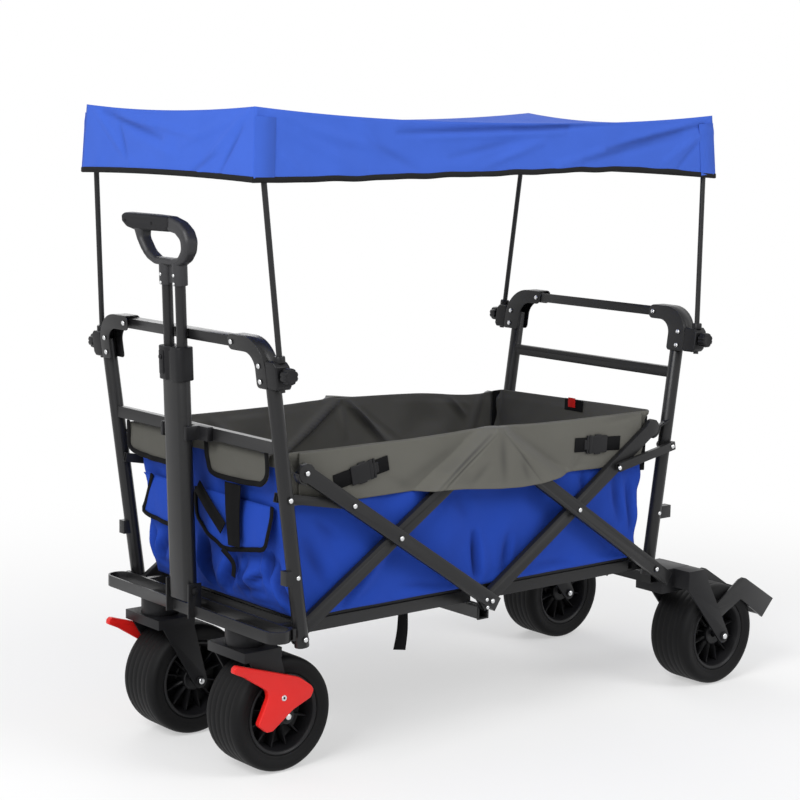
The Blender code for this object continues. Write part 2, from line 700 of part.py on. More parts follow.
def end_frame(end):
    """Two posts with their cross bars, hooks, stop blocks and lower pivot pins."""
    word = "front" if end == FRONT else "rear"
    y = FRONT_POST_Y if end == FRONT else REAR_POST_Y
    outer_back = OUTER_ARM_Y + ARM_THICK / 2
    frame = post(word + "_post_l", end, LEFT, y)
    tools = [post(word + "_post_r", end, RIGHT, y)]
    for side, tag in SIDES:
        hook_y = OUTER_ARM_Y
        reach = FRONT_STOP_REACH
        pin_out = FRONT_POST_Y + POST_RADIUS
        if end == REAR:
            hook_y = INNER_ARM_Y
            reach = REAR_STOP_REACH
            pin_out = outer_back + GAP
        tools.append(hook(f"{word}_hook_{tag}", end, side, hook_y))
        tools.append(stop_block(f"{word}_stop_{tag}", end, side, y, reach))
        rail_in = RAIL_Y - RAIL_THICK / 2
        heads = (False, True)
        x = end * HALF_SPAN
        tools.append(cross_pin("low_pin", x, LOW_PIVOT_Z, side, rail_in, pin_out, heads))
    if end == FRONT:
        tools.append(cross_bar("front_bar", end, y, FRONT_BAR_Z, BAR_HEIGHT, BAR_DEPTH))
    else:
        tools.append(cross_bar("rear_bar", end, y, REAR_BAR_Z, BAR_HEIGHT, BAR_DEPTH))
        size = REAR_FOOT_BAR_SIZE
        tools.append(
            cross_bar("rear_foot", end, y, REAR_FOOT_BAR_Z, size, size, REAR_FOOT_BAR_X)
        )
    fuse(frame, *tools)
    for side, _ in SIDES:
        link_x = end * post_x(LINK_POST_Z)
        inner, outer = y - POST_RADIUS, y + POST_RADIUS
        cut(frame, cross_hole("link_hole", link_x, LINK_POST_Z, side, inner - SINK, outer + SINK))
    pivot = (end * HALF_SPAN, 0, LOW_PIVOT_Z)
    finish(frame, word + "_frame", STEEL, pivot)


def leaning(end, z):
    """A frame on a post's centre line at a height: local Z runs up the post."""
    tilt = Matrix.Rotation(end * math.atan(POST_LEAN), 4, "Y")
    return Matrix.Translation((end * post_x(z), 0, z)) @ tilt


def elbow_outline(outer_y, skin):
    """The elbow's side shape: up the post's outer side, round the bend and along the bar."""
    rise = math.sqrt(1 + POST_LEAN**2)
    bar_top = (TOP_BAR_Z - ELBOW_BOTTOM_Z) * rise + TOP_BAR_HEIGHT / 2 + ELBOW_SKIN + GAP
    bar_low = bar_top - TOP_BAR_HEIGHT - ELBOW_SKIN * 2 - GAP * 2
    out = outer_y - skin
    inner = outer_y - ELBOW_SKIN * 2 - POST_RADIUS * 2
    low = -skin * 2
    top = bar_top - skin
    bend = ELBOW_BEND - skin
    corner = (out - bend, top - bend)
    outside = arc(corner, bend, 0, 90, ELBOW_ROUND)
    inner_corner = (inner - ELBOW_INNER_BEND, bar_low - ELBOW_INNER_BEND)
    inside = arc(inner_corner, ELBOW_INNER_BEND, 90, 0, ELBOW_ROUND)
    end_y = ELBOW_END_Y - skin * 2
    reach = skin * 4
    if skin:
        inside = [(end_y, bar_low - reach), (inner - reach, bar_low - reach)]
        return [(out, low), *outside, (end_y, top), *inside, (inner - reach, low)]
    return [(out, low), *outside, (end_y, top), (end_y, bar_low), *inside, (inner, low)]


def elbow(end, side, tag):
    """The channel that joins a post to the push bar, with the canopy pole's clamp on it."""
    word = "front" if end == FRONT else "rear"
    y = FRONT_POST_Y if end == FRONT else REAR_POST_Y
    outer_y = y + POST_RADIUS + GAP + ELBOW_SKIN
    frame = leaning(end, ELBOW_BOTTOM_Z)
    view = frame @ Matrix(((0, 0, 1), (side, 0, 0), (0, 1, 0))).to_4x4()
    if side == LEFT:
        view = frame @ Matrix(((0, 0, -1), (side, 0, 0), (0, 1, 0))).to_4x4()
    inside = POST_RADIUS * 2 + GAP * 2
    shell = plate("elbow_shell", [elbow_outline(outer_y, 0)], inside + ELBOW_SKIN * 2, view)
    channel = plate("elbow_channel", [elbow_outline(outer_y, ELBOW_SKIN)], inside, view)
    cut(shell, channel)
    bar_drop = (TOP_BAR_Z - ELBOW_BOTTOM_Z) * math.sqrt(1 + POST_LEAN**2)
    spots = [(ELBOW_RIVET_Y, z - ELBOW_BOTTOM_Z) for z in ELBOW_RIVET_ZS]
    spots.append((ELBOW_BAR_RIVET_Y, bar_drop))
    for place, rise in spots:
        for way in (-1, 1):
            face = inside / 2 + ELBOW_SKIN
            near = frame @ Vector((way * (face - MERGE), side * place, rise))
            far = frame @ Vector((way * (face + HEAD_THICK), side * place, rise))
            fuse(shell, rod("elbow_rivet", HEAD_RADIUS, near, far, PIN_STEPS))
    clamp_x = end * CLAMP_POLE_X
    clamp_in = side * (outer_y - MERGE * 5)
    low = (clamp_x - CLAMP_LENGTH / 2, clamp_in, CLAMP_Z - CLAMP_HEIGHT / 2)
    high = (clamp_x + CLAMP_LENGTH / 2, side * CLAMP_OUTER_Y, CLAMP_Z + CLAMP_HEIGHT / 2)
    fuse(shell, span_block("clamp_block", low, high))
    low, high = pole_line(end, side, CLAMP_Z - CLAMP_HEIGHT, CLAMP_Z + CLAMP_HEIGHT)
    cut(shell, rod("pole_hole", POLE_RADIUS + PIN_PLAY, low, high))
    pivot = (end * post_x(ELBOW_BOTTOM_Z), side * y, ELBOW_BOTTOM_Z)
    finish(shell, f"{word}_elbow_{tag}", STEEL, pivot)


def top_bar(end):
    """The push bar that the elbows hold, a flat tube along Y."""
    word = "front" if end == FRONT else "rear"
    x = end * (post_x(TOP_BAR_Z) - POST_RADIUS + TOP_BAR_DEPTH / 2)
    reach = ELBOW_BAR_RIVET_Y + ELBOW_BEND / 2
    tilt = Vector((end * POST_LEAN, 0, 1))
    bar = box_tube(
        "top_bar_tube",
        (x, -reach, TOP_BAR_Z),
        (x, reach, TOP_BAR_Z),
        TOP_BAR_HEIGHT,
        TOP_BAR_DEPTH,
        BAR_WALL,
        tilt,
    )
    finish(bar, word + "_top_bar", STEEL, (x, 0, TOP_BAR_Z))


def pole_line(end, side, low_z, high_z):
    """Two points of a canopy pole's centre line, at two heights."""
    points = []
    for z in (low_z, high_z):
        up = z - CLAMP_Z
        x = end * (CLAMP_POLE_X + up * POLE_LEAN_X)
        points.append(Vector((x, side * (CLAMP_POLE_Y - up * POLE_LEAN_Y), z)))
    return points


def canopy_pole(end, side, tag):
    """One canopy pole and the knob that clamps it."""
    word = "front" if end == FRONT else "rear"
    low, high = pole_line(end, side, POLE_BOTTOM_Z, POLE_TOP_Z)
    pole = rod("pole_rod", POLE_RADIUS, low, high)
    finish(pole, f"pole_{word}_{tag}", STEEL, low)
    x = end * CLAMP_POLE_X
    start = CLAMP_OUTER_Y + GAP
    neck = start + KNOB_STEM_LENGTH
    tip = neck + KNOB_LENGTH
    knob = rod(
        "knob_body", KNOB_RADIUS, (x, side * neck, CLAMP_Z), (x, side * tip, CLAMP_Z), KNOB_STEPS
    )
    near = (x, side * start, CLAMP_Z)
    fuse(knob, rod("knob_stem", KNOB_STEM_RADIUS, near, (x, side * (neck + SINK), CLAMP_Z)))
    for i in range(KNOB_FLUTES):
        turn = 2 * math.pi * (i + 0.5) / KNOB_FLUTES
        flute_x = x + math.cos(turn) * KNOB_FLUTE_RING
        flute_z = CLAMP_Z + math.sin(turn) * KNOB_FLUTE_RING
        near = (flute_x, side * (neck - SINK), flute_z)
        far = (flute_x, side * (tip + SINK), flute_z)
        cut(knob, rod("knob_flute", KNOB_FLUTE_RADIUS, near, far, FLUTE_STEPS))
    finish(knob, f"knob_{word}_{tag}", PLASTIC, (x, side * start, CLAMP_Z))


def canopy_shape(x, y, drop):
    """Where a canopy point lies: its edges sag between the corners, and its folds fan from them."""
    along = x / CANOPY_HALF_LENGTH
    across = y / CANOPY_HALF_WIDTH
    top = POLE_TOP_Z + CANOPY_SEAT + CANOPY_CLOTH
    sag = CANOPY_SIDE_SAG * (1 - along**2) + CANOPY_END_SAG * (1 - across**2)
    z = top - sag
    if drop == 0:
        return Vector((x, y, z))
    hem = top - CANOPY_DROP
    if abs(across) > 1 - MERGE:
        hem += CANOPY_HEM_RISE * math.cos(math.pi * (along - 0.3) / 2) ** 2 * (1 - along**2)
    z += (hem - z) * drop
    corner = math.atan2(drop * CANOPY_DROP, CANOPY_HALF_WIDTH * min(1 - abs(along), 1))
    fan = math.sin(corner * CANOPY_FOLD_COUNT * 2) * (1 - along**2) * drop
    push = CANOPY_FOLD_DEPTH * fan
    if abs(across) > 1 - MERGE:
        y -= math.copysign(abs(push), y)
    else:
        corner = math.atan2(drop * CANOPY_DROP, CANOPY_HALF_WIDTH * (1 - abs(across)))
        fan = math.sin(corner * CANOPY_FOLD_COUNT) * (1 - across**2) * drop
        x -= math.copysign(abs(CANOPY_FOLD_DEPTH * fan), x)
    return Vector((x, y * (1 + CANOPY_FLARE * drop / CANOPY_HALF_WIDTH), z))


def canopy():
    """The canopy: a sagging top with a valance round it, one cloth thick."""
    bm = bmesh.new()
    bmesh.ops.create_grid(bm, x_segments=CANOPY_LONG_CELLS, y_segments=CANOPY_CROSS_CELLS, size=1)
    drops = {vert: 0 for vert in bm.verts}
    edge = [e for e in bm.edges if e.is_boundary]
    for level in range(1, CANOPY_DROP_CELLS + 1):
        made = bmesh.ops.extrude_edge_only(bm, edges=edge)["geom"]
        edge = [g for g in made if isinstance(g, bmesh.types.BMEdge) and g.is_boundary]
        for vert in made:
            if isinstance(vert, bmesh.types.BMVert):
                drops[vert] = level / CANOPY_DROP_CELLS
    for vert, drop in drops.items():
        vert.co = canopy_shape(vert.co.x * CANOPY_HALF_LENGTH, vert.co.y * CANOPY_HALF_WIDTH, drop)
    bmesh.ops.recalc_face_normals(bm, faces=bm.faces)
    if max(bm.faces, key=lambda face: face.calc_center_median().z).normal.z < 0:
        bmesh.ops.reverse_faces(bm, faces=bm.faces)
    cloth = solidify(from_bmesh("canopy_cloth", bm), CANOPY_CLOTH)
    finish(cloth, "canopy", CANOPY_BLUE, (0, 0, POLE_TOP_Z))


def tub_shape(x, y, rise):
    """Where a tub point lies: x and y run from -1 to 1 on its floor, rise from 0 to 1."""
    front = TUB_FRONT_LOW_X + (TUB_FRONT_TOP_X - TUB_FRONT_LOW_X) * rise
    rear = TUB_REAR_LOW_X + (TUB_REAR_TOP_X - TUB_REAR_LOW_X) * rise
    place = front + (rear - front) * (x + 1) / 2
    peak = TUB_PEAK * (1 - x * x) * rise
    return Vector((place, y * TUB_HALF_WIDTH, TUB_FLOOR_Z + (TUB_RIM_Z - TUB_FLOOR_Z) * rise + peak))


def tub():
    """The fabric tub, open at the top."""
    bm = bmesh.new()
    bmesh.ops.create_grid(bm, x_segments=TUB_LONG_CELLS, y_segments=TUB_CROSS_CELLS, size=1)
    rises = {vert: 0 for vert in bm.verts}
    edge = [e for e in bm.edges if e.is_boundary]
    for level in range(1, TUB_RISE_CELLS + 1):
        made = bmesh.ops.extrude_edge_only(bm, edges=edge)["geom"]
        edge = [g for g in made if isinstance(g, bmesh.types.BMEdge) and g.is_boundary]
        for vert in made:
            if isinstance(vert, bmesh.types.BMVert):
                rises[vert] = level / TUB_RISE_CELLS
    for vert, rise in rises.items():
        vert.co = tub_shape(vert.co.x, vert.co.y, rise)
    bmesh.ops.recalc_face_normals(bm, faces=bm.faces)
    if min(bm.faces, key=lambda face: face.calc_center_median().z).normal.z > 0:
        bmesh.ops.reverse_faces(bm, faces=bm.faces)
    cloth = solidify(from_bmesh("tub_cloth", bm), TUB_FABRIC)
    finish(cloth, "tub", TUB_BLUE, (0, 0, TUB_FLOOR_Z))


def floor_frame(end):
    """Half of the floor frame: two rails and a cross tube, hinged at the lower pivots."""
    word = "front" if end == FRONT else "rear"
    outer = end * (HALF_SPAN + RAIL_END)
    inner = end * RAIL_CENTRE_GAP
    rails = []
    for side, tag in SIDES:
        start = (inner, side * RAIL_Y, RAIL_Z)
        stop = (outer, side * RAIL_Y, RAIL_Z)
        rails.append(box_tube("rail_" + tag, start, stop, RAIL_HEIGHT, RAIL_THICK, RAIL_WALL))
    reach = RAIL_Y + RAIL_THICK / 2 + GAP
    cross_x = end * FLOOR_CROSS_X
    size = FLOOR_CROSS_SIZE
    near, far = (cross_x, -reach, RAIL_Z), (cross_x, reach, RAIL_Z)
    cross = box_tube("floor_cross", near, far, size, size, RAIL_WALL)
    frame = fuse(rails[0], rails[1], cross)
    bore = size - RAIL_WALL * 2
    cut(frame, block("cross_bore", (bore, (reach + SINK) * 2, bore), (cross_x, 0, RAIL_Z)))
    for side, _ in SIDES:
        face, back = RAIL_Y - RAIL_THICK / 2, RAIL_Y + RAIL_THICK / 2
        cut(frame, cross_hole("rail_hole", end * HALF_SPAN, LOW_PIVOT_Z, side, face, back))
    finish(frame, word + "_floor_frame", STEEL, (end * HALF_SPAN, 0, LOW_PIVOT_Z))
    low = (inner, -BOARD_HALF_WIDTH, BOARD_Z)
    high = (end * BOARD_OUTER_X, BOARD_HALF_WIDTH, BOARD_Z + BOARD_THICK)
    board = span_block("board", low, high)
    finish(board, word + "_floor_board", BOARD_GREY, (end * HALF_SPAN, 0, LOW_PIVOT_Z))


def centre_tube():
    """The cross tube below the middle joints, held by a plate inside each inner arm."""
    z = LOW_PIVOT_Z - CENTRE_TUBE_DROP
    size = CENTRE_TUBE_SIZE
    near, far = (0, -CENTRE_PLATE_Y, z), (0, CENTRE_PLATE_Y, z)
    tube = box_tube("centre_box", near, far, size, size, CENTRE_TUBE_WALL)
    face = CENTRE_PLATE_Y - CENTRE_PLATE_THICK
    hollow = size / 2 - CENTRE_TUBE_WALL
    for side, _ in SIDES:
        low = (-size / 2 - SINK, side * face, z - size / 2 - SINK / 2)
        high = (size / 2 + SINK, side * CENTRE_PLATE_Y, LOW_PIVOT_Z + CENTRE_PLATE_TOP)
        cheek = span_block("centre_cheek", low, high)
        low = (-hollow, side * (face - SINK), z - hollow)
        high = (hollow, side * (CENTRE_PLATE_Y + SINK), z + hollow)
        fuse(tube, cut(cheek, span_block("cheek_hollow", low, high)))
    for side, _ in SIDES:
        cut(tube, cross_hole("centre_hole", 0, LOW_PIVOT_Z, side, face, CENTRE_PLATE_Y))
    finish(tube, "centre_tube", STEEL, (0, 0, LOW_PIVOT_Z))


def racetrack(front, back, half, corner):
    """A rounded rectangle in plan, as (x, y) points."""
    outline = []
    corners = ((-back, half), (-front, half), (-front, -half), (-back, -half))
    for i, (x, y) in enumerate(corners):
        inward = corner if x == -front else -corner
        centre = (x + inward, y - math.copysign(corner, y))
        outline += arc(centre, corner, 90 * i, 90 * (i + 1), LOOP_ROUND)
    return outline


def front_base():
    """The racetrack band with the webs that carry the casters and the pull handle."""
    middle = LOOP_BAND_Z + LOOP_BAND_HEIGHT / 2
    outer = racetrack(LOOP_FRONT_X, LOOP_BACK_X, LOOP_HALF_LENGTH, LOOP_CORNER)
    skin = LOOP_BAND_THICK
    inner = racetrack(LOOP_FRONT_X - skin, LOOP_BACK_X + skin, LOOP_HALF_LENGTH - skin, LOOP_CORNER - skin)
    band = plate("loop_band", [outer, inner], LOOP_BAND_HEIGHT, Matrix.Translation((0, 0, middle)))
    webs = [(0, WEB_HALF_WIDTH)] + [(side * CASTER_Y, HOUSING_FLANGE / 2) for side, _ in SIDES]
    for y, half in webs:
        low = (-LOOP_FRONT_X + skin / 2, y - half, LOOP_BAND_Z)
        high = (-LOOP_BACK_X - skin / 2, y + half, LOOP_BAND_Z + WEB_THICK)
        fuse(band, span_block("loop_web", low, high))
    loop_top = LOOP_BAND_Z + LOOP_BAND_HEIGHT
    post_face = post_x(loop_top) + POST_RADIUS * math.sqrt(1 + POST_LEAN**2) + GAP
    for side, _ in SIDES:
        inner_y = side * (FRONT_POST_Y - LOOP_SADDLE_WIDTH / 2)
        outer_y = side * (FRONT_POST_Y + LOOP_SADDLE_WIDTH / 2)
        low = (-LOOP_BACK_X - skin / 2, inner_y, LOOP_BAND_Z)
        fuse(band, span_block("loop_saddle", low, (-post_face, outer_y, loop_top)))
        face = OUTER_WIDTH / 2 + GAP * 4
        low = (PIVOT_X - EAR_LENGTH / 2, side * face, LOOP_BAND_Z)
        high = (PIVOT_X + EAR_LENGTH / 2, side * (face + EAR_THICK), PIVOT_Z + EAR_TOP)
        fuse(band, span_block("handle_ear", low, high))
    for side, _ in SIDES:
        face = OUTER_WIDTH / 2 + GAP * 4
        cut(band, cross_hole("ear_hole", PIVOT_X, PIVOT_Z, side, face, face + EAR_THICK))
    finish(band, "front_base", STEEL, (PIVOT_X, 0, PIVOT_Z))


def up_handle(distance, x=0, y=0):
    """A point of the pull handle: a distance up its leaning axis from the tilt pivot."""
    along = distance / HANDLE_SLOPE
    return Vector((PIVOT_X - along * HANDLE_LEAN + x, y, PIVOT_Z + along))


def handle_frame(distance):
    """A frame on the handle's axis: local Z runs up the handle, local Y across the cart."""
    tilt = Matrix.Rotation(-math.atan(HANDLE_LEAN), 4, "Y")
    return Matrix.Translation(up_handle(distance)) @ tilt


def stadium(width, depth, steps=6):
    """The cross-section of the pull tube: two half circles joined by flats."""
    radius = depth / 2
    reach = width / 2 - radius
    upper = arc((0, reach), radius, 0, 180, steps)
    lower = arc((0, -reach), radius, 180, 360, steps)
    return upper + lower


def stadium_tube(name, width, depth, wall, start, end):
    """A length of stadium-shaped tube along the handle's axis."""
    outlines = [stadium(width, depth), stadium(width - wall * 2, depth - wall * 2)]
    return plate(name, outlines, end - start, handle_frame((start + end) / 2))


GRIP_OUTLINE = (
    (0.139, 0.078),
    (0.132, GRIP_HEIGHT),
    (0.044, GRIP_HEIGHT),
    (-0.004, 0.082),
    (-0.030, 0.076),
    (-0.051, 0.065),
    (-0.063, 0.049),
    (-0.062, 0.032),
    (-0.051, 0.015),
    (-0.034, 0.003),
    (-0.022, 0.000),
    (0.040, 0.000),
    (0.060, 0.006),
    (0.081, 0.022),
    (0.093, 0.036),
    (0.101, 0.053),
    (0.124, 0.059),
    (0.136, 0.067),
)
GRIP_HOLE = (
    (0.072, 0.055),
    (0.010, 0.058),
    (-0.022, 0.054),
    (-0.038, 0.042),
    (-0.038, 0.029),
    (-0.026, 0.016),
    (-0.004, 0.0125),
    (0.034, 0.0125),
    (0.058, 0.022),
    (0.073, 0.039),
)


def pull_handle():
    """The telescopic pull handle: outer tube, collar, inner tubes and grip."""
    outer = stadium_tube("outer_tube", OUTER_WIDTH, OUTER_DEPTH, OUTER_WALL, OUTER_START, OUTER_END)
    reach = OUTER_WIDTH / 2 + GAP * 4 + EAR_THICK
    tip = reach + HEAD_THICK
    pin = rod("tilt_pin", PIN_RADIUS, (PIVOT_X, -tip, PIVOT_Z), (PIVOT_X, tip, PIVOT_Z), PIN_STEPS)
    for side, _ in SIDES:
        near = (PIVOT_X, side * (reach + GAP), PIVOT_Z)
        far = (PIVOT_X, side * (reach + HEAD_THICK * 2), PIVOT_Z)
        fuse(pin, rod("tilt_head", HEAD_RADIUS, near, far, PIN_STEPS))
    fuse(outer, pin)
    finish(outer, "pull_tube_outer", STEEL, (PIVOT_X, 0, PIVOT_Z))

    wide = OUTER_WIDTH + GAP * 2 + COLLAR_WALL * 2
    deep = OUTER_DEPTH + GAP * 2 + COLLAR_WALL * 2
    collar = stadium_tube("collar_tube", wide, deep, COLLAR_WALL, COLLAR_START, OUTER_END + COLLAR_LIP)
    finish(collar, "pull_collar", PLASTIC, (PIVOT_X, 0, PIVOT_Z))

    tops = GRIP_BOTTOM - SLEEVE_LENGTH + SLEEVE_GRIP
    first = INNER_START + SLIDER_LENGTH / 2
    tubes = []
    for side, tag in SIDES:
        y = side * INNER_SPACING / 2
        low, high = up_handle(first, 0, y), up_handle(tops, 0, y)
        tubes.append(pipe("inner_" + tag, INNER_RADIUS, INNER_WALL, low, high))
    size = (INNER_RADIUS * 2, INNER_SPACING + INNER_RADIUS, SLIDER_LENGTH)
    frame = handle_frame(INNER_START + SLIDER_LENGTH / 2)
    turn = frame.to_quaternion().to_matrix().to_4x4()
    slider = block("slider", size, frame.translation, turn)
    fuse(slider, *tubes)
    finish(slider, "pull_tubes_inner", STEEL, up_handle(INNER_START))

    frame = handle_frame(GRIP_BOTTOM)
    view = frame @ Matrix(((0, 0, 1), (1, 0, 0), (0, 1, 0))).to_4x4()
    ring = plate("grip_ring", [GRIP_OUTLINE, GRIP_HOLE], GRIP_THICK, view)
    holes = []
    for side, _ in SIDES:
        y = side * INNER_SPACING / 2
        low = up_handle(GRIP_BOTTOM - SLEEVE_LENGTH, 0, y)
        high = up_handle(GRIP_BOTTOM + SINK * 2, 0, y)
        fuse(ring, rod("grip_sleeve", INNER_RADIUS + SLEEVE_WALL, low, high))
        start = up_handle(GRIP_BOTTOM - SLEEVE_LENGTH - SINK, 0, y)
        end = up_handle(tops + GAP, 0, y)
        holes.append(rod("sleeve_bore", INNER_RADIUS + PIN_PLAY, start, end))
    cut(ring, *holes)
    finish(ring, "handle_grip", PLASTIC, up_handle(GRIP_BOTTOM))


def handle_clip():
    """The plastic clip on the front bar that holds the pull tube upright."""
    bar_face = -post_x(FRONT_BAR_Z) - BAR_DEPTH / 2 - GAP
    distance = (CLIP_Z - PIVOT_Z) * HANDLE_SLOPE
    tube_back = up_handle(distance).x + OUTER_DEPTH / 2 + LAYER_GAP
    low = (tube_back, -CLIP_HALF_WIDTH, CLIP_Z - CLIP_HEIGHT / 2)
    high = (bar_face, CLIP_HALF_WIDTH, CLIP_Z + CLIP_HEIGHT / 2)
    clip = span_block("clip_back", low, high)
    for side, _ in SIDES:
        face = OUTER_WIDTH / 2 + LAYER_GAP / 2
        prong_low = (tube_back + SINK, side * face, CLIP_Z - CLIP_HEIGHT / 2)
        prong_high = (tube_back - CLIP_REACH, side * (face + CLIP_PRONG), CLIP_Z + CLIP_HEIGHT / 2)
        fuse(clip, span_block("clip_prong", prong_low, prong_high))
    finish(clip, "handle_clip", PLASTIC, (bar_face, 0, CLIP_Z))


def across(x, y, z):
    """A frame whose local Z axis runs along the cart's Y."""
    return Matrix.Translation((x, y, z)) @ Matrix.Rotation(math.radians(90), 4, "X")


def wheel(name, x, y):
    """A tyre and the ribbed rim that it is pressed on."""
    half = WHEEL_WIDTH / 2
    tread = half - WHEEL_SHOULDER
    wall = RIM_RADIUS + GAP
    profile = [
        (wall, half - RIM_INSET),
        (WHEEL_RADIUS - WHEEL_SHOULDER, half),
        (WHEEL_RADIUS, tread),
        (WHEEL_RADIUS, -tread),
        (WHEEL_RADIUS - WHEEL_SHOULDER, -half),
        (wall, -half + RIM_INSET),
    ]
    tyre = turned(name + "_tyre_ring", profile, across(x, y, WHEEL_RADIUS), WHEEL_STEPS)
    finish_turned(tyre, name + "_tyre", RUBBER)

    edge = half - RIM_INSET
    bore = AXLE_RADIUS + PIN_PLAY
    profile = [
        (RIM_RADIUS, edge),
        (RIM_RADIUS, -edge),
        (RIM_WELL_RADIUS, -edge),
        (RIM_FLOOR_RADIUS, -RIM_WEB_HALF),
        (HUB_RADIUS, -RIM_WEB_HALF),
        (HUB_RADIUS, -HUB_HALF),
        (bore, -HUB_HALF),
        (bore, HUB_HALF),
        (HUB_RADIUS, HUB_HALF),
        (HUB_RADIUS, RIM_WEB_HALF),
        (RIM_FLOOR_RADIUS, RIM_WEB_HALF),
        (RIM_WELL_RADIUS, edge),
    ]
    rim = turned(name + "_rim_ring", profile, across(x, y, WHEEL_RADIUS), WHEEL_STEPS)
    ribs = []
    for i in range(RIB_COUNT):
        turn = Matrix.Rotation(2 * math.pi * (i + 0.5) / RIB_COUNT, 4, "Y")
        middle = (RIM_FLOOR_RADIUS + HUB_RADIUS) / 2
        centre = Vector((x, y, WHEEL_RADIUS)) + turn @ Vector((middle, 0, 0))
        size = (RIM_FLOOR_RADIUS - HUB_RADIUS + SINK * 2, RIB_HALF * 2, RIB_THICK)
        ribs.append(block("rib", size, centre, turn))
    fuse(rim, *ribs)
    finish_turned(rim, name + "_rim", PLASTIC)


def finish_turned(thing, name, look):
    """Make a turned ring one of the parts: its origin is its axis already."""
    thing.name = name
    thing.data.name = name
    thing.data.materials.append(material(look))
    bpy.data.collections["cutters"].objects.unlink(thing)
    bpy.data.collections["camping_cart"].objects.link(thing)
    thing.hide_render = False
    thing.display_type = "TEXTURED"


def fork_axle(x, side, y, reach):
    """An axle across a fork, with a nut on each end."""
    y = side * y
    z = WHEEL_RADIUS
    axle = rod("axle", AXLE_RADIUS, (x, y - reach, z), (x, y + reach, z), PIN_STEPS)
    for way in (-1, 1):
        near = (x, y + way * (reach - MERGE), z)
        far = (x, y + way * (reach + AXLE_NUT_THICK), z)
        fuse(axle, rod("axle_nut", AXLE_NUT_RADIUS, near, far, 6))
    return axle


def front_caster(side, tag):
    """A swivel caster: fixed housing, fork with stem and axle, wheel and brake lever."""
    y = side * CASTER_Y
    top = LOOP_BAND_Z - GAP
    crown_top = CROWN_BOTTOM_Z + CROWN_THICK
    flange = HOUSING_FLANGE / 2
    low = (CASTER_X - flange / 2 - SINK, y - flange, top - HOUSING_FLANGE_THICK)
    high = (CASTER_X + flange / 2, y + flange, top)
    housing = span_block("housing_flange", low, high)
    low = (CASTER_X, y, crown_top + GAP)
    high = (CASTER_X, y, top - SINK / 2)
    fuse(housing, rod("housing_cup", HOUSING_RADIUS, low, high, HOUSING_STEPS))
    low = (CASTER_X, y, crown_top - SINK)
    high = (CASTER_X, y, crown_top + STEM_LENGTH + SINK / 2)
    cut(housing, rod("housing_bore", STEM_RADIUS + PIN_PLAY, low, high))
    finish(housing, "caster_housing_" + tag, PLASTIC, (CASTER_X, y, top))

    half = FORK_INNER + FORK_THICK
    crown_front = CASTER_X - CROWN_LENGTH / 2
    crown_back = CASTER_X + CROWN_LENGTH / 2
    low = (crown_front, y - half, CROWN_BOTTOM_Z)
    fork = span_block("crown", low, (crown_back, y + half, crown_top))
    eye = (FRONT_AXLE_X, WHEEL_RADIUS)
    outline = [
        (crown_front + FORK_THICK * 2, CROWN_BOTTOM_Z + SINK),
        *arc(eye, FORK_EYE_RADIUS, 200, 380, HOOK_ROUND),
        (crown_back - SINK, CROWN_BOTTOM_Z + SINK),
    ]
    for way in (-1, 1):
        centre = y + way * (FORK_INNER + FORK_THICK / 2)
        fuse(fork, plate("fork_arm", [outline], FORK_THICK, side_view(centre)))
    low = (CASTER_X, y, crown_top - SINK)
    fuse(fork, rod("stem", STEM_RADIUS, low, (CASTER_X, y, crown_top + STEM_LENGTH)))
    fuse(fork, fork_axle(FRONT_AXLE_X, side, CASTER_Y, half))
    lever_z = WHEEL_RADIUS + LEVER_LIFT
    near = (LEVER_X, side * (CASTER_Y + half - SINK), lever_z)
    reach = half + AXLE_NUT_THICK + LEVER_THICK + GAP
    far = (LEVER_X, side * (CASTER_Y + reach), lever_z)
    fuse(fork, rod("lever_stud", LEVER_STUD_RADIUS, near, far))
    finish(fork, "caster_fork_" + tag, PLASTIC, (CASTER_X, y, crown_top))
    wheel("front_wheel_" + tag, FRONT_AXLE_X, y)
    brake_lever(side, tag, CASTER_Y + half + AXLE_NUT_THICK)


LEVER_OUTLINE = (
    (-0.101, 0.058),
    (-0.100, 0.066),
    (-0.094, 0.070),
    (-0.030, 0.050),
    (0.033, 0.030),
    (0.058, 0.012),
    (0.063, 0.003),
    (0.057, -0.009),
    (0.020, -0.024),
    (-0.022, -0.054),
    (-0.034, -0.054),
    (-0.050, -0.041),
    (-0.050, -0.036),
    (-0.030, 0.006),
    (-0.034, 0.018),
    (-0.080, 0.048),
)


def brake_lever(side, tag, face):
    """The red lever that presses a front wheel's brake, turning on the fork's stud."""
    pivot = (LEVER_X, WHEEL_RADIUS + LEVER_LIFT)
    outline = [(pivot[0] + x, pivot[1] + z) for x, z in LEVER_OUTLINE]
    hole = arc(pivot, LEVER_STUD_RADIUS + PIN_PLAY, 0, 330, 11)
    middle = face + GAP + LEVER_THICK / 2
    lever = plate("lever_body", [outline, hole], LEVER_THICK, side_view(side * middle))
    finish(lever, "brake_lever_" + tag, RED_PLASTIC, (pivot[0], side * middle, pivot[1]))


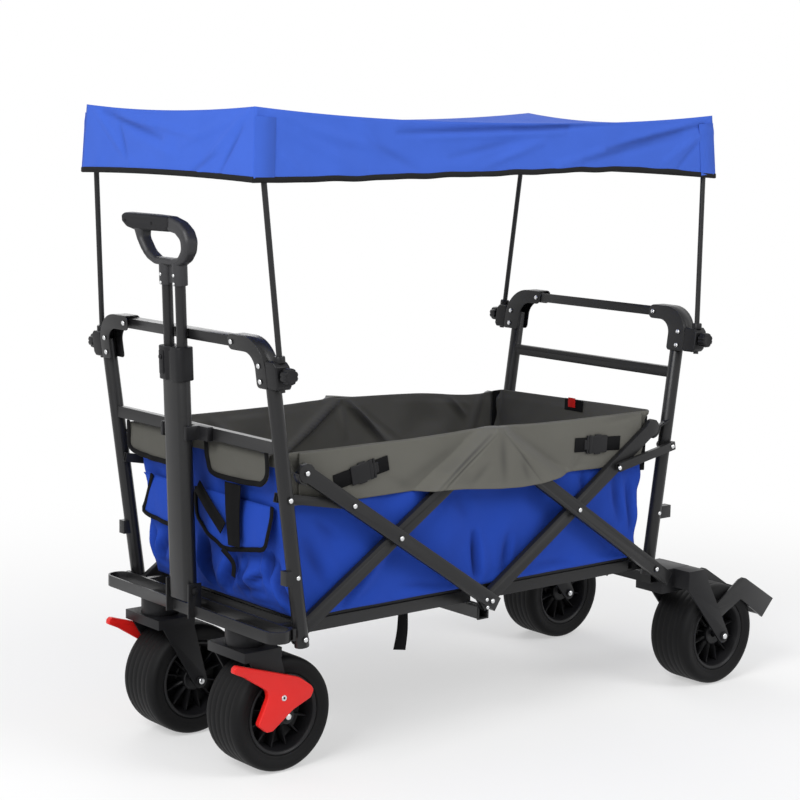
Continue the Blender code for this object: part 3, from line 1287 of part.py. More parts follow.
def rear_fork(side, tag):
    """A fixed rear fork: block behind the foot bar, crown, two arms and the axle."""
    y = side * REAR_WHEEL_Y
    inner = WHEEL_WIDTH / 2 + PEDAL_PLAY + PEDAL_THICK + GAP * 2
    half = inner + FORK_THICK
    block_front = REAR_FOOT_BAR_X + REAR_FOOT_BAR_SIZE / 2 + GAP
    block_out = OUTER_ARM_Y - ARM_THICK / 2 - LAYER_GAP
    low = (block_front, side * REAR_BLOCK_INNER_Y, REAR_BLOCK_LOW_Z)
    high = (REAR_BLOCK_END_X, side * block_out, REAR_BLOCK_TOP_Z)
    fork = span_block("rear_block", low, high)
    crown_low = (REAR_CROWN_X, y - half, REAR_CROWN_LOW_Z)
    crown_high = (REAR_BLOCK_END_X, y + half, REAR_BLOCK_TOP_Z - GAP)
    fuse(fork, span_block("rear_crown", crown_low, crown_high))
    eye = (REAR_AXLE_X, WHEEL_RADIUS)
    outline = [
        (REAR_CROWN_X, REAR_CROWN_LOW_Z),
        *arc(eye, FORK_EYE_RADIUS, 215, 395, HOOK_ROUND),
        (REAR_BLOCK_END_X, REAR_BLOCK_TOP_Z - SINK),
        (REAR_CROWN_X + SINK, REAR_BLOCK_TOP_Z - SINK),
    ]
    for way in (-1, 1):
        centre = y + way * (inner + FORK_THICK / 2)
        fuse(fork, plate("rear_arm", [outline], FORK_THICK, side_view(centre)))
    fuse(fork, fork_axle(REAR_AXLE_X, side, REAR_WHEEL_Y, half))
    for way in (-1, 1):
        start = side * (REAR_WHEEL_Y + way * (inner - PEDAL_THICK))
        face = side * (REAR_WHEEL_Y + way * (inner + FORK_THICK))
        near = (PEDAL_PIVOT_X, start, PEDAL_PIVOT_Z)
        fuse(fork, rod("pedal_pin", PIN_RADIUS, near, (PEDAL_PIVOT_X, face, PEDAL_PIVOT_Z)))
    finish(fork, "rear_fork_" + tag, PLASTIC, (REAR_AXLE_X, y, WHEEL_RADIUS))
    wheel("rear_wheel_" + tag, REAR_AXLE_X, y)
    brake_pedal(side, tag, inner)


# behind the axle and above the ground, in wheel radii
PEDAL_SHAPE = (
    (-0.336, 1.56),
    (-0.076, 1.36),
    (0.534, 1.66),
    (1.204, 1.19),
    (PEDAL_TIP_REACH, 1.53),
    (0.664, 2.06),
    (0.564, 2.09),
    (0.444, 2.06),
)
PEDAL_OUTLINE = [(REAR_AXLE_X + x * WHEEL_RADIUS, z * WHEEL_RADIUS) for x, z in PEDAL_SHAPE]


def brake_pedal(side, tag, inner):
    """The chevron foot brake: a cheek on each side of the wheel, joined by the foot plate."""
    y = side * REAR_WHEEL_Y
    hole = arc((PEDAL_PIVOT_X, PEDAL_PIVOT_Z), PIN_RADIUS + PIN_PLAY, 0, 330, 11)
    cheeks = []
    for way in (-1, 1):
        centre = y + way * (inner - GAP - PEDAL_THICK / 2)
        cheeks.append(plate("pedal_cheek", [PEDAL_OUTLINE, hole], PEDAL_THICK, side_view(centre)))
    pedal = cheeks[0]
    reach = inner - GAP - PEDAL_THICK / 2
    foot_top, foot_low = PEDAL_OUTLINE[4], PEDAL_OUTLINE[3]
    step = PEDAL_STEP
    foot = [
        (foot_low[0] + step / 2, foot_low[1] + step),
        (foot_top[0] - step, foot_top[1]),
        (foot_top[0] - step * 8, foot_top[1] + step * 5 - step / 2),
        (foot_top[0] - step * 9, foot_top[1] + step * 4 - step / 2),
        (foot_top[0] - step * 3, foot_top[1]),
        (foot_low[0] - step, foot_low[1] + step * 2),
    ]
    fuse(pedal, plate("foot_plate", [foot], reach * 2, side_view(y)))
    fuse(pedal, cheeks[1])
    finish(pedal, "rear_brake_pedal_" + tag, STEEL, (PEDAL_PIVOT_X, y, PEDAL_PIVOT_Z))


def main():
    start_scene()
    end_frame(FRONT)
    end_frame(REAR)
    for end in (FRONT, REAR):
        top_bar(end)
        floor_frame(end)
        for side, tag in SIDES:
            elbow(end, side, tag)
            canopy_pole(end, side, tag)
    for side, tag in SIDES:
        side_arms(side, tag)
        guide_links(side, tag)
        front_caster(side, tag)
        rear_fork(side, tag)
    centre_tube()
    front_base()
    pull_handle()
    handle_clip()
    tub()
    canopy()


main()
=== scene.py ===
"""Looks for a folding camping cart, laid out as an add-on and run as a script.

Lengths are metres, apart from the tables that metres() and folds() take in millimetres, and +Z is up. In
"cart places" x is 0 at the middle of the side frame, the handle end is at -x and the cart's left side is at
-y; cart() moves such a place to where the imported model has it.
"""
import math

import bmesh
import bpy
import numpy as np
from mathutils import Matrix, Vector


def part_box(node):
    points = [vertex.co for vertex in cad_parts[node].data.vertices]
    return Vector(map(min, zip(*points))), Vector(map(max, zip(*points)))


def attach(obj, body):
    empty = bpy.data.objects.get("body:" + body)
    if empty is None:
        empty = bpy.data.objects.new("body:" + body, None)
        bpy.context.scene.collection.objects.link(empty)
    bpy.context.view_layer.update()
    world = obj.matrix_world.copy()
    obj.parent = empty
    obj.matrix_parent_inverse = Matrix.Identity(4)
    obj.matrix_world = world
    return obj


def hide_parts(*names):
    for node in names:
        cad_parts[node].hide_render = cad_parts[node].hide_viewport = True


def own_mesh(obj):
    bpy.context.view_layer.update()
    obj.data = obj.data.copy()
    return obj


bl_info = {
    "name": "Camping cart looks",
    "version": (1, 0, 0),
    "blender": (4, 5, 0),
    "location": "View3D > Sidebar > Cart",
    "description": "Dresses the camping cart's frame in its fabric, wheels, fittings and finishes",
    "category": "Object",
}

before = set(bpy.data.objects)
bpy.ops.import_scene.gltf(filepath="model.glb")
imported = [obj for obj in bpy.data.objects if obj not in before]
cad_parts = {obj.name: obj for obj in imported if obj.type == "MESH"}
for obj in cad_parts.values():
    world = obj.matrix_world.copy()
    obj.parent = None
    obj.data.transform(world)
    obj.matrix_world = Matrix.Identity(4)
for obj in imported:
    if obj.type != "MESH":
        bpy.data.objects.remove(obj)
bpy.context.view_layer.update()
SHIFT = (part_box("canopy")[0].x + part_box("canopy")[1].x) / 2

# Places and sizes of the frame that the new pieces sit on, in cart places
HALF_SPAN = 0.425
LOW_Z = 0.252
ARM_SLOPE = 0.280 / 0.425
LINK_X = 0.3153
LINK_POST_Z = 0.487
POST_LEAN = 0.1415
POST_RADIUS = 0.0125
OUTER_ARM = 0.241
INNER_ARM = 0.229
HALF_ARM = 0.0055
FRONT_POST_Y = 0.2475
REAR_POST_Y = 0.2225
WHEEL_RADIUS = 0.100
AXLES = (("front", -0.405, 0.130), ("rear", 0.5936, 0.216))
LEVER_PIN = (-0.424, 0.139)
HANDLE_LEAN = 0.0389
HANDLE_PIVOT = (-0.4915, 0.298)
GRIP_FOOT = 0.552
HANDLE_TUBE_Y = 0.01975
SIDES = ((-1, "l"), (1, "r"))


def linear(code):
    """An sRGB hex colour as the linear numbers that a shader takes."""
    parts = [int(code[i : i + 2], 16) / 255 for i in (1, 3, 5)]
    return [c / 12.92 if c <= 0.04045 else ((c + 0.055) / 1.055) ** 2.4 for c in parts]


def metres(*rows):
    """Rows of millimetres as tuples of metres."""
    return [tuple(number / 1000 for number in row) for row in rows]


def folds(*rows):
    """Folds from rows of millimetres: both ends on the cloth, half width and height."""
    return [((a, b), (c, d), width, rise) for a, b, c, d, width, rise in metres(*rows)]


def cart(x, y, z):
    return Vector((x + SHIFT, y, z))


def moved(points):
    """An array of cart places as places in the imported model."""
    return points + np.array([SHIFT, 0, 0])


def post_x(z):
    return HALF_SPAN + (z - LOW_Z) * POST_LEAN


def arm_z(x):
    return LOW_Z + abs(x) * ARM_SLOPE


# Settings


def colour_setting(name, description, code):
    return bpy.props.FloatVectorProperty(
        name=name,
        description=description,
        subtype="COLOR",
        size=3,
        min=0,
        max=1,
        default=linear(code),
    )


def length_setting(name, description, default, low, high):
    return bpy.props.FloatProperty(
        name=name,
        description=description,
        subtype="DISTANCE",
        unit="LENGTH",
        default=default,
        min=low,
        max=high,
    )


class ClothSettings(bpy.types.PropertyGroup):
    """Colours and sizes of the canopy and the tub."""

    canopy: colour_setting("Canopy", "Dyed polyester of the canopy", "#3f66cf")
    tub: colour_setting("Tub", "Dyed polyester of the tub's lower part", "#1f46ae")
    band: colour_setting("Band", "Grey polyester round the tub's rim", "#66655f")
    lining: colour_setting("Lining", "Dark polyester inside the tub", "#585753")
    tape: colour_setting("Tape", "Black binding and webbing", "#08080a")
    thread: length_setting("Thread", "Distance between two threads of the weave", 0.0012, 0.0002, 0.01)


class HardSettings(bpy.types.PropertyGroup):
    """Colours of the frame, the wheels and the fittings."""

    steel: colour_setting("Frame", "Powder coat of the frame", "#1f1f20")
    plastic: colour_setting("Plastic", "Moulded black fittings", "#18181a")
    rubber: colour_setting("Tyre", "Foam-filled tyre", "#121213")
    lever: colour_setting("Lever", "Red brake levers", "#d8201c")
    zinc: colour_setting("Zinc", "Rivets, bolts and nuts", "#d9dadb")
    round_steps: bpy.props.IntProperty(
        name="Steps", description="Segments round a wheel", default=96, min=24, max=256
    )


class StageSettings(bpy.types.PropertyGroup):
    """Camera, lamps and floor."""

    azimuth: bpy.props.FloatProperty(name="Azimuth", description="Camera's turn", default=-39.78)
    elevation: bpy.props.FloatProperty(name="Elevation", description="Camera's height angle", default=8.244)
    roll: bpy.props.FloatProperty(name="Roll", description="Camera's roll", default=0.99)
    distance: length_setting("Distance", "Camera to its target", 3.6258, 0.5, 20.0)
    lens: bpy.props.FloatProperty(name="Lens", description="Focal length in mm", default=88.1)
    floor: colour_setting("Floor", "Pale floor", "#f2f2f2")


# Materials

PATCH = 0.05
CLOTH_PATCH = 0.06
UNEVEN = 0.07
RIBBED = {"rib": 1.7, "relief": 0.6}
CLOTH_SHINE = {"Specular IOR Level": 0.15, "Sheen Roughness": 0.5}
# painted shade: the colour that the cloth is multiplied by deep in its folds' valleys
FOLD_SHADE = (0.36, 0.36, 0.40, 1)
# the small creases that packing leaves in a coated cloth, about a hand's breadth apart
CRUMPLE = {
    "noise_type": "RIDGED_MULTIFRACTAL",
    "Scale": 7.0,
    "Detail": 2.5,
    "Roughness": 0.55,
    "Distortion": 0.5,
}
CRUMPLE_DEPTH = 0.018
WHITE = (1, 1, 1, 1)


def feed(tree, node, links):
    """Link sockets to a node's inputs."""
    for name, socket in dict(links).items():
        tree.links.new(socket, node.inputs[name])


def add_node(tree, kind, settings=(), links=()):
    """Add a shader node, with its settings and the sockets that feed its inputs."""
    made = tree.nodes.new("ShaderNode" + kind)
    for name, value in dict(settings).items():
        if isinstance(name, int) or name in made.inputs:
            made.inputs[name].default_value = value
        else:
            setattr(made, name, value)
    feed(tree, made, links)
    return made


def mix_colours(tree, settings, links):
    """The mix of colours 6 and 7, by the share 0."""
    return add_node(tree, "Mix", {"data_type": "RGBA", **settings}, links).outputs[2]


def start_finish(name, entries):
    """A new material: its tree, its shader with these entries, and the places on the piece."""
    made = bpy.data.materials.new(name)
    made.use_nodes = True
    tree = made.node_tree
    shader = tree.nodes["Principled BSDF"]
    for entry, value in entries.items():
        shader.inputs[entry].default_value = value
    return tree, shader, add_node(tree, "TexCoord").outputs["Object"]


def scaled(code, share):
    return [c * share for c in code]


def noise(tree, place, settings):
    return add_node(tree, "TexNoise", settings, {"Vector": place}).outputs["Fac"]


def bump(tree, strength, distance, height, links=()):
    """A normal bumped by a height, over the normal that links may give."""
    settings = {"Strength": strength, "Distance": distance}
    return add_node(tree, "Bump", settings, {"Height": height, **dict(links)}).outputs["Normal"]


def patchy(tree, place, code, shade, size, detail):
    """Soft patches of one size in metres, and a colour that is darker where they are low."""
    patches = noise(tree, place, {"Scale": 1 / size, "Detail": detail})
    return patches, mix_colours(tree, {6: (*scaled(code, shade), 1), 7: (*code, 1)}, {0: patches})


def solid_finish(name, code, shade, roughness, grain, depth, metallic=0.0, specular=0.5):
    """A moulded, coated or plated finish; grain is the size of its surface's grain in metres."""
    tree, shader, place = start_finish(name, {"Metallic": metallic, "Specular IOR Level": specular})
    patches, colour = patchy(tree, place, code, shade, PATCH, 4.0)
    span = {"To Min": roughness - UNEVEN, "To Max": roughness + UNEVEN}
    rough = add_node(tree, "MapRange", span, {"Value": patches}).outputs["Result"]
    relief = bump(tree, depth, grain / 3, noise(tree, place, {"Scale": 1 / grain, "Detail": 2.0}))
    feed(tree, shader, {"Base Color": colour, "Roughness": rough, "Normal": relief})


def woven_finish(name, code, shade, roughness, thread, rib=1.0, relief=0.35, sheen=0.04, creases=0.0):
    """Woven polyester or webbing, its threads laid along the piece's flat UV map, which is in metres."""
    tree, shader, place = start_finish(name, {"Roughness": roughness, "Sheen Weight": sheen, **CLOTH_SHINE})
    flat = add_node(tree, "UVMap", {"uv_map": "flat"}).outputs["UV"]
    threads = []
    for way, gap in (("X", thread), ("Y", thread * rib)):
        # a wave's bands repeat every 0.314 of its scale
        wave = add_node(tree, "TexWave", {"bands_direction": way, "Scale": 0.314 / gap}, {"Vector": flat})
        threads.append(wave.outputs["Fac"])
    weave = add_node(tree, "Math", {"operation": "MULTIPLY"}, dict(enumerate(threads))).outputs[0]
    _, dyed = patchy(tree, place, code, shade, CLOTH_PATCH, 3.0)
    gaps = mix_colours(tree, {"blend_type": "MULTIPLY", 0: 0.3}, {6: dyed, 7: weave})
    lifted = mix_colours(tree, {0: 0.6}, {6: gaps, 7: dyed})
    # painted shade in the folds: the cloth darkens towards FOLD_SHADE as deep as the "in_fold" attribute says
    in_fold = add_node(tree, "Attribute", {"attribute_name": "in_fold"}).outputs["Fac"]
    shaded = mix_colours(tree, {"blend_type": "MULTIPLY", 7: FOLD_SHADE}, {0: in_fold, 6: lifted})
    under = {"Normal": bump(tree, creases, CRUMPLE_DEPTH, noise(tree, place, CRUMPLE))} if creases else {}
    feed(tree, shader, {"Base Color": shaded, "Normal": bump(tree, relief, thread / 6, weave, under)})


class CART_OT_mix_finishes(bpy.types.Operator):
    """Make every finish that the cart's pieces take"""

    bl_idname = "cart.mix_finishes"
    bl_label = "Mix finishes"

    def execute(self, context):
        cloth, hard = context.scene.cart_cloth, context.scene.cart_hard
        # epoxy powder coat on steel: satin, with a fine orange peel
        solid_finish("powder_coated_steel", hard.steel, 0.84, 0.34, 0.0009, 0.08, specular=0.3)
        # moulded polypropylene: matt from a spark-eroded mould
        solid_finish("moulded_polypropylene", hard.plastic, 0.85, 0.42, 0.0005, 0.12, specular=0.22)
        # polypropylene with a soft sleeve over it: greyer and duller than the rest
        solid_finish("soft_grip_plastic", scaled(hard.plastic, 2.3), 0.85, 0.5, 0.0005, 0.12)
        # moulded rubber: darker and duller
        solid_finish("soft_grip_rubber", scaled(hard.plastic, 1.5), 0.8, 0.6, 0.0006, 0.2, specular=0.2)
        # foamed rubber: dull and slightly dusty
        solid_finish("foamed_tyre_rubber", hard.rubber, 0.75, 0.6, 0.0012, 0.3, specular=0.14)
        # glass-filled nylon dyed red: satin
        solid_finish("dyed_nylon", hard.lever, 0.92, 0.34, 0.0005, 0.05, specular=0.3)
        # bright zinc plating: a soft metallic shine
        solid_finish("zinc_plating", hard.zinc, 0.9, 0.28, 0.0004, 0.05, metallic=0.85)
        # 600-denier polyester, drawn twice as coarse as it is so that the weave shows in a close view
        thread = cloth.thread
        woven_finish("canopy_polyester", cloth.canopy, 0.9, 0.75, thread, creases=0.45)
        woven_finish("corner_strip_polyester", scaled(cloth.canopy, 0.92), 0.9, 0.75, thread)
        woven_finish("tub_polyester", cloth.tub, 0.88, 0.75, thread, sheen=0.02, creases=0.7)
        woven_finish("band_polyester", cloth.band, 0.92, 0.78, thread, creases=0.6)
        woven_finish("flap_polyester", scaled(cloth.band, 0.72), 0.92, 0.78, thread, creases=0.5)
        woven_finish("lining_polyester", cloth.lining, 0.9, 0.8, thread, creases=0.8)
        # polypropylene webbing and binding: cross ribs 2 mm apart
        woven_finish("black_webbing", cloth.tape, 0.85, 0.8, 0.0012, sheen=0.0, **RIBBED)
        woven_finish("grey_black_binding", hard.steel, 0.85, 0.8, 0.0012, sheen=0.0, **RIBBED)
        woven_finish("red_webbing", hard.lever, 0.85, 0.7, 0.0012, **RIBBED)
        return {"FINISHED"}


# The frame

# a name that ends in _ stands for its left and its right node
STEEL_NODES = (
    "arm_a_ arm_b_ arm_c_ arm_d_ link_front_ link_rear_ front_elbow_ rear_elbow_ pole_front_ pole_rear_ "
    "rear_brake_pedal_ centre_tube front_base front_floor_frame rear_floor_frame front_frame rear_frame "
    "front_top_bar rear_top_bar pull_tube_outer pull_tubes_inner"
)
PLASTIC_NODES = (
    "caster_fork_ caster_housing_ rear_fork_ handle_clip pull_collar front_floor_board rear_floor_board"
)
UNROUNDED_NODES = "pull_tubes_inner pole_front_ pole_rear_"


def node_names(words):
    return [word + tag for word in words.split() for tag in ("lr" if word[-1] == "_" else ("",))]


class CART_OT_finish_frame(bpy.types.Operator):
    """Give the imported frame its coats, and its edges their smooth or sharp shading"""

    bl_idname = "cart.finish_frame"
    bl_label = "Finish frame"

    def execute(self, context):
        finishes = dict.fromkeys(node_names(STEEL_NODES), "powder_coated_steel")
        finishes |= dict.fromkeys(node_names(PLASTIC_NODES), "moulded_polypropylene")
        for name, finish in finishes.items():
            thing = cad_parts[name]
            for slot in thing.material_slots:
                slot.material = bpy.data.materials[finish]
            for face in thing.data.polygons:
                face.use_smooth = True
            weld = thing.modifiers.new("join_triangles", "WELD")
            weld.merge_threshold = 0.00002
            if name not in node_names(UNROUNDED_NODES):
                edge = thing.modifiers.new("eased_edges", "BEVEL")
                edge.width = 0.0009
                edge.segments = 2
                edge.limit_method = "ANGLE"
                edge.angle_limit = math.radians(50)
            split = thing.modifiers.new("sharp_edges", "EDGE_SPLIT")
            split.split_angle = math.radians(38)
        return {"FINISHED"}


# Modelling tools

CONSISTENT = (bpy.ops.mesh.normals_make_consistent, {"inside": False})


def deselect():
    if bpy.context.mode != "OBJECT":
        bpy.ops.object.mode_set(mode="OBJECT")
    bpy.ops.object.select_all(action="DESELECT")


def activate(thing):
    """Select one object alone and make it the active one."""
    deselect()
    thing.select_set(True)
    bpy.context.view_layer.objects.active = thing


def name_newest(name):
    made = bpy.context.object
    made.name = name
    made.data.name = name
    return made


def link_new(name, data):
    """A new object in the scene with this mesh or curve."""
    made = bpy.data.objects.new(name, data)
    bpy.context.scene.collection.objects.link(made)
    return made


def merging(gap):
    return bpy.ops.mesh.remove_doubles, {"threshold": gap}


def edit_all(thing, *steps):
    """Run mesh operators on the whole of a piece, each given with its settings."""
    activate(thing)
    bpy.ops.object.mode_set(mode="EDIT")
    for operator, settings in steps:
        bpy.ops.mesh.select_all(action="SELECT")
        operator(**settings)
    bpy.ops.object.mode_set(mode="OBJECT")


def smooth_by_angle(thing, degrees):
    activate(thing)
    bpy.ops.object.shade_smooth_by_angle(angle=math.radians(degrees))
    return thing


def settle(thing, finish, body, slot, *nodes, where=None):
    """Put a finished piece's place into its mesh, give it its finish, and let it ride on its body."""
    if where is not None:
        thing.data.transform(where)
    if finish:
        thing.data.materials.clear()
        thing.data.materials.append(bpy.data.materials[finish])
    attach(thing, body)
    if nodes:
        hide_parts(*nodes)
    return thing


def settle_plastic(thing, body, *nodes, where=None):
    return settle(thing, "moulded_polypropylene", body, "black_plastic", *nodes, where=where)


def copy_piece(thing, name, where=None):
    """A copy with its own mesh."""
    made = link_new(name, thing.data.copy())
    made.data.name = name
    if where is not None:
        made.data.transform(where)
    return made


def join_pieces(name, pieces):
    activate(pieces[0])
    for piece in pieces:
        piece.select_set(True)
    if len(pieces) > 1:
        bpy.ops.object.join()
    return name_newest(name)


def remove_pieces(*things):
    for thing in things:
        bpy.data.objects.remove(thing, do_unlink=True)


def turned(name, profile, steps, degrees=40):
    """A ring spun round the local Z axis from a closed profile of (radius, height) places."""
    deselect()
    bpy.ops.mesh.primitive_circle_add(vertices=len(profile), fill_type="NOTHING", location=(0, 0, 0))
    thing = name_newest(name)
    for point, (radius, height) in zip(thing.data.vertices, profile):
        point.co = (radius, 0, height)
    spin = {"steps": steps, "angle": math.tau, "center": (0, 0, 0), "axis": (0, 0, 1)}
    edit_all(thing, (bpy.ops.mesh.spin, spin), merging(0.00001), CONSISTENT)
    return smooth_by_angle(thing, degrees)


def bevelled_box(name, size, centre, rounding):
    """A box with rounded edges."""
    deselect()
    bpy.ops.mesh.primitive_cube_add(size=1, location=(0, 0, 0))
    thing = name_newest(name)
    thing.data.transform(Matrix.Diagonal((*size, 1)))
    edit_all(thing, (bpy.ops.mesh.bevel, {"offset": rounding, "segments": 2, "affect": "EDGES"}))
    thing.data.transform(Matrix.Translation(centre))
    return smooth_by_angle(thing, 50)


def cut_plate(name, outlines, thickness, rounding, segments=3):
    """A flat plate with rounded rims; its first outline runs anticlockwise and those of holes clockwise."""
    curve = bpy.data.curves.new(name, "CURVE")
    curve.dimensions = "2D"
    curve.fill_mode = "BOTH"
    curve.extrude = thickness / 2 - rounding
    curve.bevel_depth = rounding
    curve.bevel_resolution = segments
    curve.offset = -rounding
    for outline in outlines:
        spline = curve.splines.new("POLY")
        spline.points.add(len(outline) - 1)
        for point, (x, y) in zip(spline.points, outline):
            point.co = (x, y, 0, 1)
        spline.use_cyclic_u = True
    activate(link_new(name, curve))
    bpy.ops.object.convert(target="MESH")
    made = name_newest(name)
    edit_all(made, merging(0.00002), CONSISTENT)
    return smooth_by_angle(made, 50)


def filleted(points, radius, steps=5):
    """A closed outline with its corners rounded, by one radius or by one for each corner."""
    made = []
    points = [Vector(point) for point in points]
    for i, corner in enumerate(points):
        before = points[i - 1] - corner
        after = points[(i + 1) % len(points)] - corner
        r = radius[i] if isinstance(radius, list) else radius
        half = before.angle(after) / 2
        if half > math.radians(88):
            made.append(tuple(corner))
            continue
        reach = min(r / math.tan(half), before.length * 0.49, after.length * 0.49)
        a = corner + before.normalized() * reach
        b = corner + after.normalized() * reach
        for k in range(steps + 1):
            t = k / steps
            made.append(tuple((1 - t) ** 2 * a + 2 * t * (1 - t) * corner + t * t * b))
    return made


def along_y(place, way=1):
    """A frame at a place whose local Z axis runs along the cart's +Y or, with way -1, its -Y."""
    return Matrix.Translation(place) @ Matrix.Rotation(math.radians(-90 * way), 4, "X")


def facing(place, normal, up=(0, 0, 1)):
    """A frame at a point whose local Z axis runs along a normal and whose Y axis leans towards up."""
    z = Vector(normal).normalized()
    x = Vector(up).cross(z).normalized()
    return Matrix.Translation(place) @ Matrix((x, z.cross(x), z)).transposed().to_4x4()


# Cloth tools


def from_bmesh(name, shape):
    mesh = bpy.data.meshes.new(name)
    shape.to_mesh(mesh)
    shape.free()
    return link_new(name, mesh)


def cloth_piece(name, parts, thickness=0.0):
    """One cloth mesh from grids of cart places.

    Each part is (points, flat places, outward, material index for each row or 0, creases or None), and the
    last two may be left out. Grids whose borders meet are joined there, faces look outward, and the "flat" UV
    map is in metres. The creases say, from 0 to 1, how deep in a fold each point lies; the cloth is painted
    darker there, as shade in the folds.
    """
    shape = bmesh.new()
    layer = shape.loops.layers.uv.new("flat")
    depth = shape.verts.layers.float.new("in_fold")
    for points, flats, outward, *rest in parts:
        finishes, creases = rest or (0, None)
        points = moved(points)
        rows, columns = points.shape[:2]
        verts = [[shape.verts.new(place) for place in row] for row in points]
        # painted shade: each point's depth in the folds goes into the in_fold attribute
        if creases is not None:
            for i in range(rows):
                for j in range(columns):
                    verts[i][j][depth] = creases[i, j]
        k, m = rows // 2, columns // 2
        middle = points[min(k + 1, rows - 1), m] - points[k - 1, m]
        side = points[k, min(m + 1, columns - 1)] - points[k, m - 1]
        flip = np.cross(side, middle) @ np.array(outward) < 0
        for i in range(rows - 1):
            for j in range(columns - 1):
                ring = [(i, j), (i, j + 1), (i + 1, j + 1), (i + 1, j)]
                if flip:
                    ring.reverse()
                face = shape.faces.new([verts[a][b] for a, b in ring])
                face.smooth = True
                face.material_index = finishes[i] if finishes else 0
                for loop, (a, b) in zip(face.loops, ring):
                    loop[layer].uv = flats[a, b]
    bmesh.ops.remove_doubles(shape, verts=shape.verts, dist=0.00005)
    made = from_bmesh(name, shape)
    if thickness:
        wall = made.modifiers.new("thickness", "SOLIDIFY")
        wall.thickness = thickness
        wall.offset = -1.0
        wall.use_even_offset = False
        activate(made)
        bpy.ops.object.modifier_apply(modifier=wall.name)
    return made


def grid(u_count, v_count):
    """Two arrays of shares from 0 to 1, v down the rows and u along the columns."""
    return np.meshgrid(np.linspace(0, 1, u_count), np.linspace(0, 1, v_count))


def path_run(points):
    """How far along a path each of its points lies."""
    return np.concatenate([[0], np.cumsum(np.linalg.norm(np.diff(points, axis=0), axis=1))])


def ridges(flats, lines):
    """Height at flat places of soft folds."""
    height = np.zeros(flats.shape[:-1])
    for start, end, width, rise in lines:
        a = np.array(start)
        along = np.array(end) - a
        t = np.clip(((flats - a) @ along) / (along @ along), 0, 1)
        gap = np.linalg.norm(flats - (a + t[..., None] * along), axis=-1)
        height += rise * np.exp(-((gap / width) ** 2)) * (0.25 + 0.75 * np.sin(np.pi * (0.1 + 0.8 * t)))
    return height


def valleys(flats, lines, full):
    """How deep each place lies in the folds' valleys, as the share of painted shade it takes: 1 where they
    are full metres deep or more.
    """
    low = [(a, b, w * 0.8, h) for a, b, w, h in lines if h < 0]
    return np.clip(-ridges(flats, low) / full, 0, 1) ** 1.5


def gathers(flats, lines, share=0.75):
    """Folds whose valleys each have a raised crease beside them."""
    beside = [((a[0] + w * 1.5, a[1]), (b[0] + w * 1.5, b[1]), w, -h * share) for a, b, w, h in lines]
    return ridges(flats, lines + beside)


def soft_least(a, b, blend):
    """The lesser of two heights, with a rounded change from one to the other."""
    return -blend * np.logaddexp(-a / blend, -b / blend)


def bell(x, centre, width, power=2):
    return np.exp(-(((x - centre) / width) ** power))


def ripple(flats, seed, size, depth):
    """Gentle unevenness of a cloth: a few seeded waves of about one size."""
    random = np.random.default_rng(seed)
    height = np.zeros(flats.shape[:-1])
    for _ in range(7):
        angle, phase = random.uniform(0, math.pi), random.uniform(0, 2 * math.pi)
        pitch = size * random.uniform(0.6, 1.6)
        way = np.array([math.cos(angle), math.sin(angle)])
        height += np.sin(flats @ way * 2 * math.pi / pitch + phase) * random.uniform(0.5, 1.0)
    return height * depth / 3


def smooth_path(points, count):
    """A path through points, as count evenly spread places on a soft curve."""
    points = [np.array(p, float) for p in points]
    ends = [2 * points[0] - points[1]] + points + [2 * points[-1] - points[-2]]
    fine = []
    for a, b, c, d in zip(ends, ends[1:], ends[2:], ends[3:]):
        bend, twist = 2 * a - 5 * b + 4 * c - d, 3 * b - a - 3 * c + d
        fine += [0.5 * (2 * b + (c - a) * t + bend * t**2 + twist * t**3) for t in np.linspace(0, 1, 13)[:-1]]
    fine = np.array(fine + [points[-1]])
    run = path_run(fine)
    spots = np.linspace(0, run[-1], count)
    return np.stack([np.interp(spots, run, fine[:, k]) for k in range(fine.shape[1])], axis=1)


def tape(name, path, normals, width, thickness, closed=False, taper=None):
    """A flat strip of webbing or binding along a path; normals point away from the cloth that it lies on."""
    path = np.array(path, float)
    normals = np.broadcast_to(np.array(normals, float), path.shape)
    ahead = np.roll(path, -1, axis=0) - np.roll(path, 1, axis=0)
    if not closed:
        ahead[0] = path[1] - path[0]
        ahead[-1] = path[-1] - path[-2]
    ahead /= np.linalg.norm(ahead, axis=1)[:, None]
    across = np.cross(normals, ahead)
    across /= np.linalg.norm(across, axis=1)[:, None]
    out = np.cross(ahead, across)
    half, edge = width / 2, thickness * 0.4
    ring = [
        (edge - half, 0), (-half, thickness / 2), (edge - half, thickness),
        (half - edge, thickness), (half, thickness / 2), (half - edge, 0),
    ]
    shape = bmesh.new()
    layer = shape.loops.layers.uv.new("flat")
    run = path_run(path)
    sizes = np.ones(len(path)) if taper is None else taper
    rows = []
    for place, wide, high, size in zip(path, across, out, sizes):
        rows.append([shape.verts.new(place + wide * a * size + high * b) for a, b in ring])
    for i in range(len(rows) if closed else len(rows) - 1):
        first, second = rows[i], rows[(i + 1) % len(rows)]
        end = run[i + 1] if i + 1 < len(run) else run[-1] + 0.01
        for k in range(len(ring)):
            m = (k + 1) % len(ring)
            face = shape.faces.new((first[k], first[m], second[m], second[k]))
            face.smooth = True
            places = ((run[i], ring[k][0]), (run[i], ring[m][0]), (end, ring[m][0]), (end, ring[k][0]))
            for loop, place in zip(face.loops, places):
                loop[layer].uv = place
    if not closed:
        shape.faces.new(rows[0])
        shape.faces.new(rows[-1][::-1])
    bmesh.ops.recalc_face_normals(shape, faces=shape.faces)
    made = from_bmesh(name, shape)
    made.data.set_sharp_from_angle(angle=math.radians(60))
    return made


def flatten(piece, front, rear):
    """Give a soft piece its own copy of its mesh; front and rear, the x where it is held, are not used."""
    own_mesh(piece)


def tub_piece(piece, finish, slot="tub_fabric"):
    """Settle a piece of the tub on the front body, with its own copy of its mesh."""
    settle(piece, finish, "front", slot)
    flatten(piece, *TUB_HOLDERS)


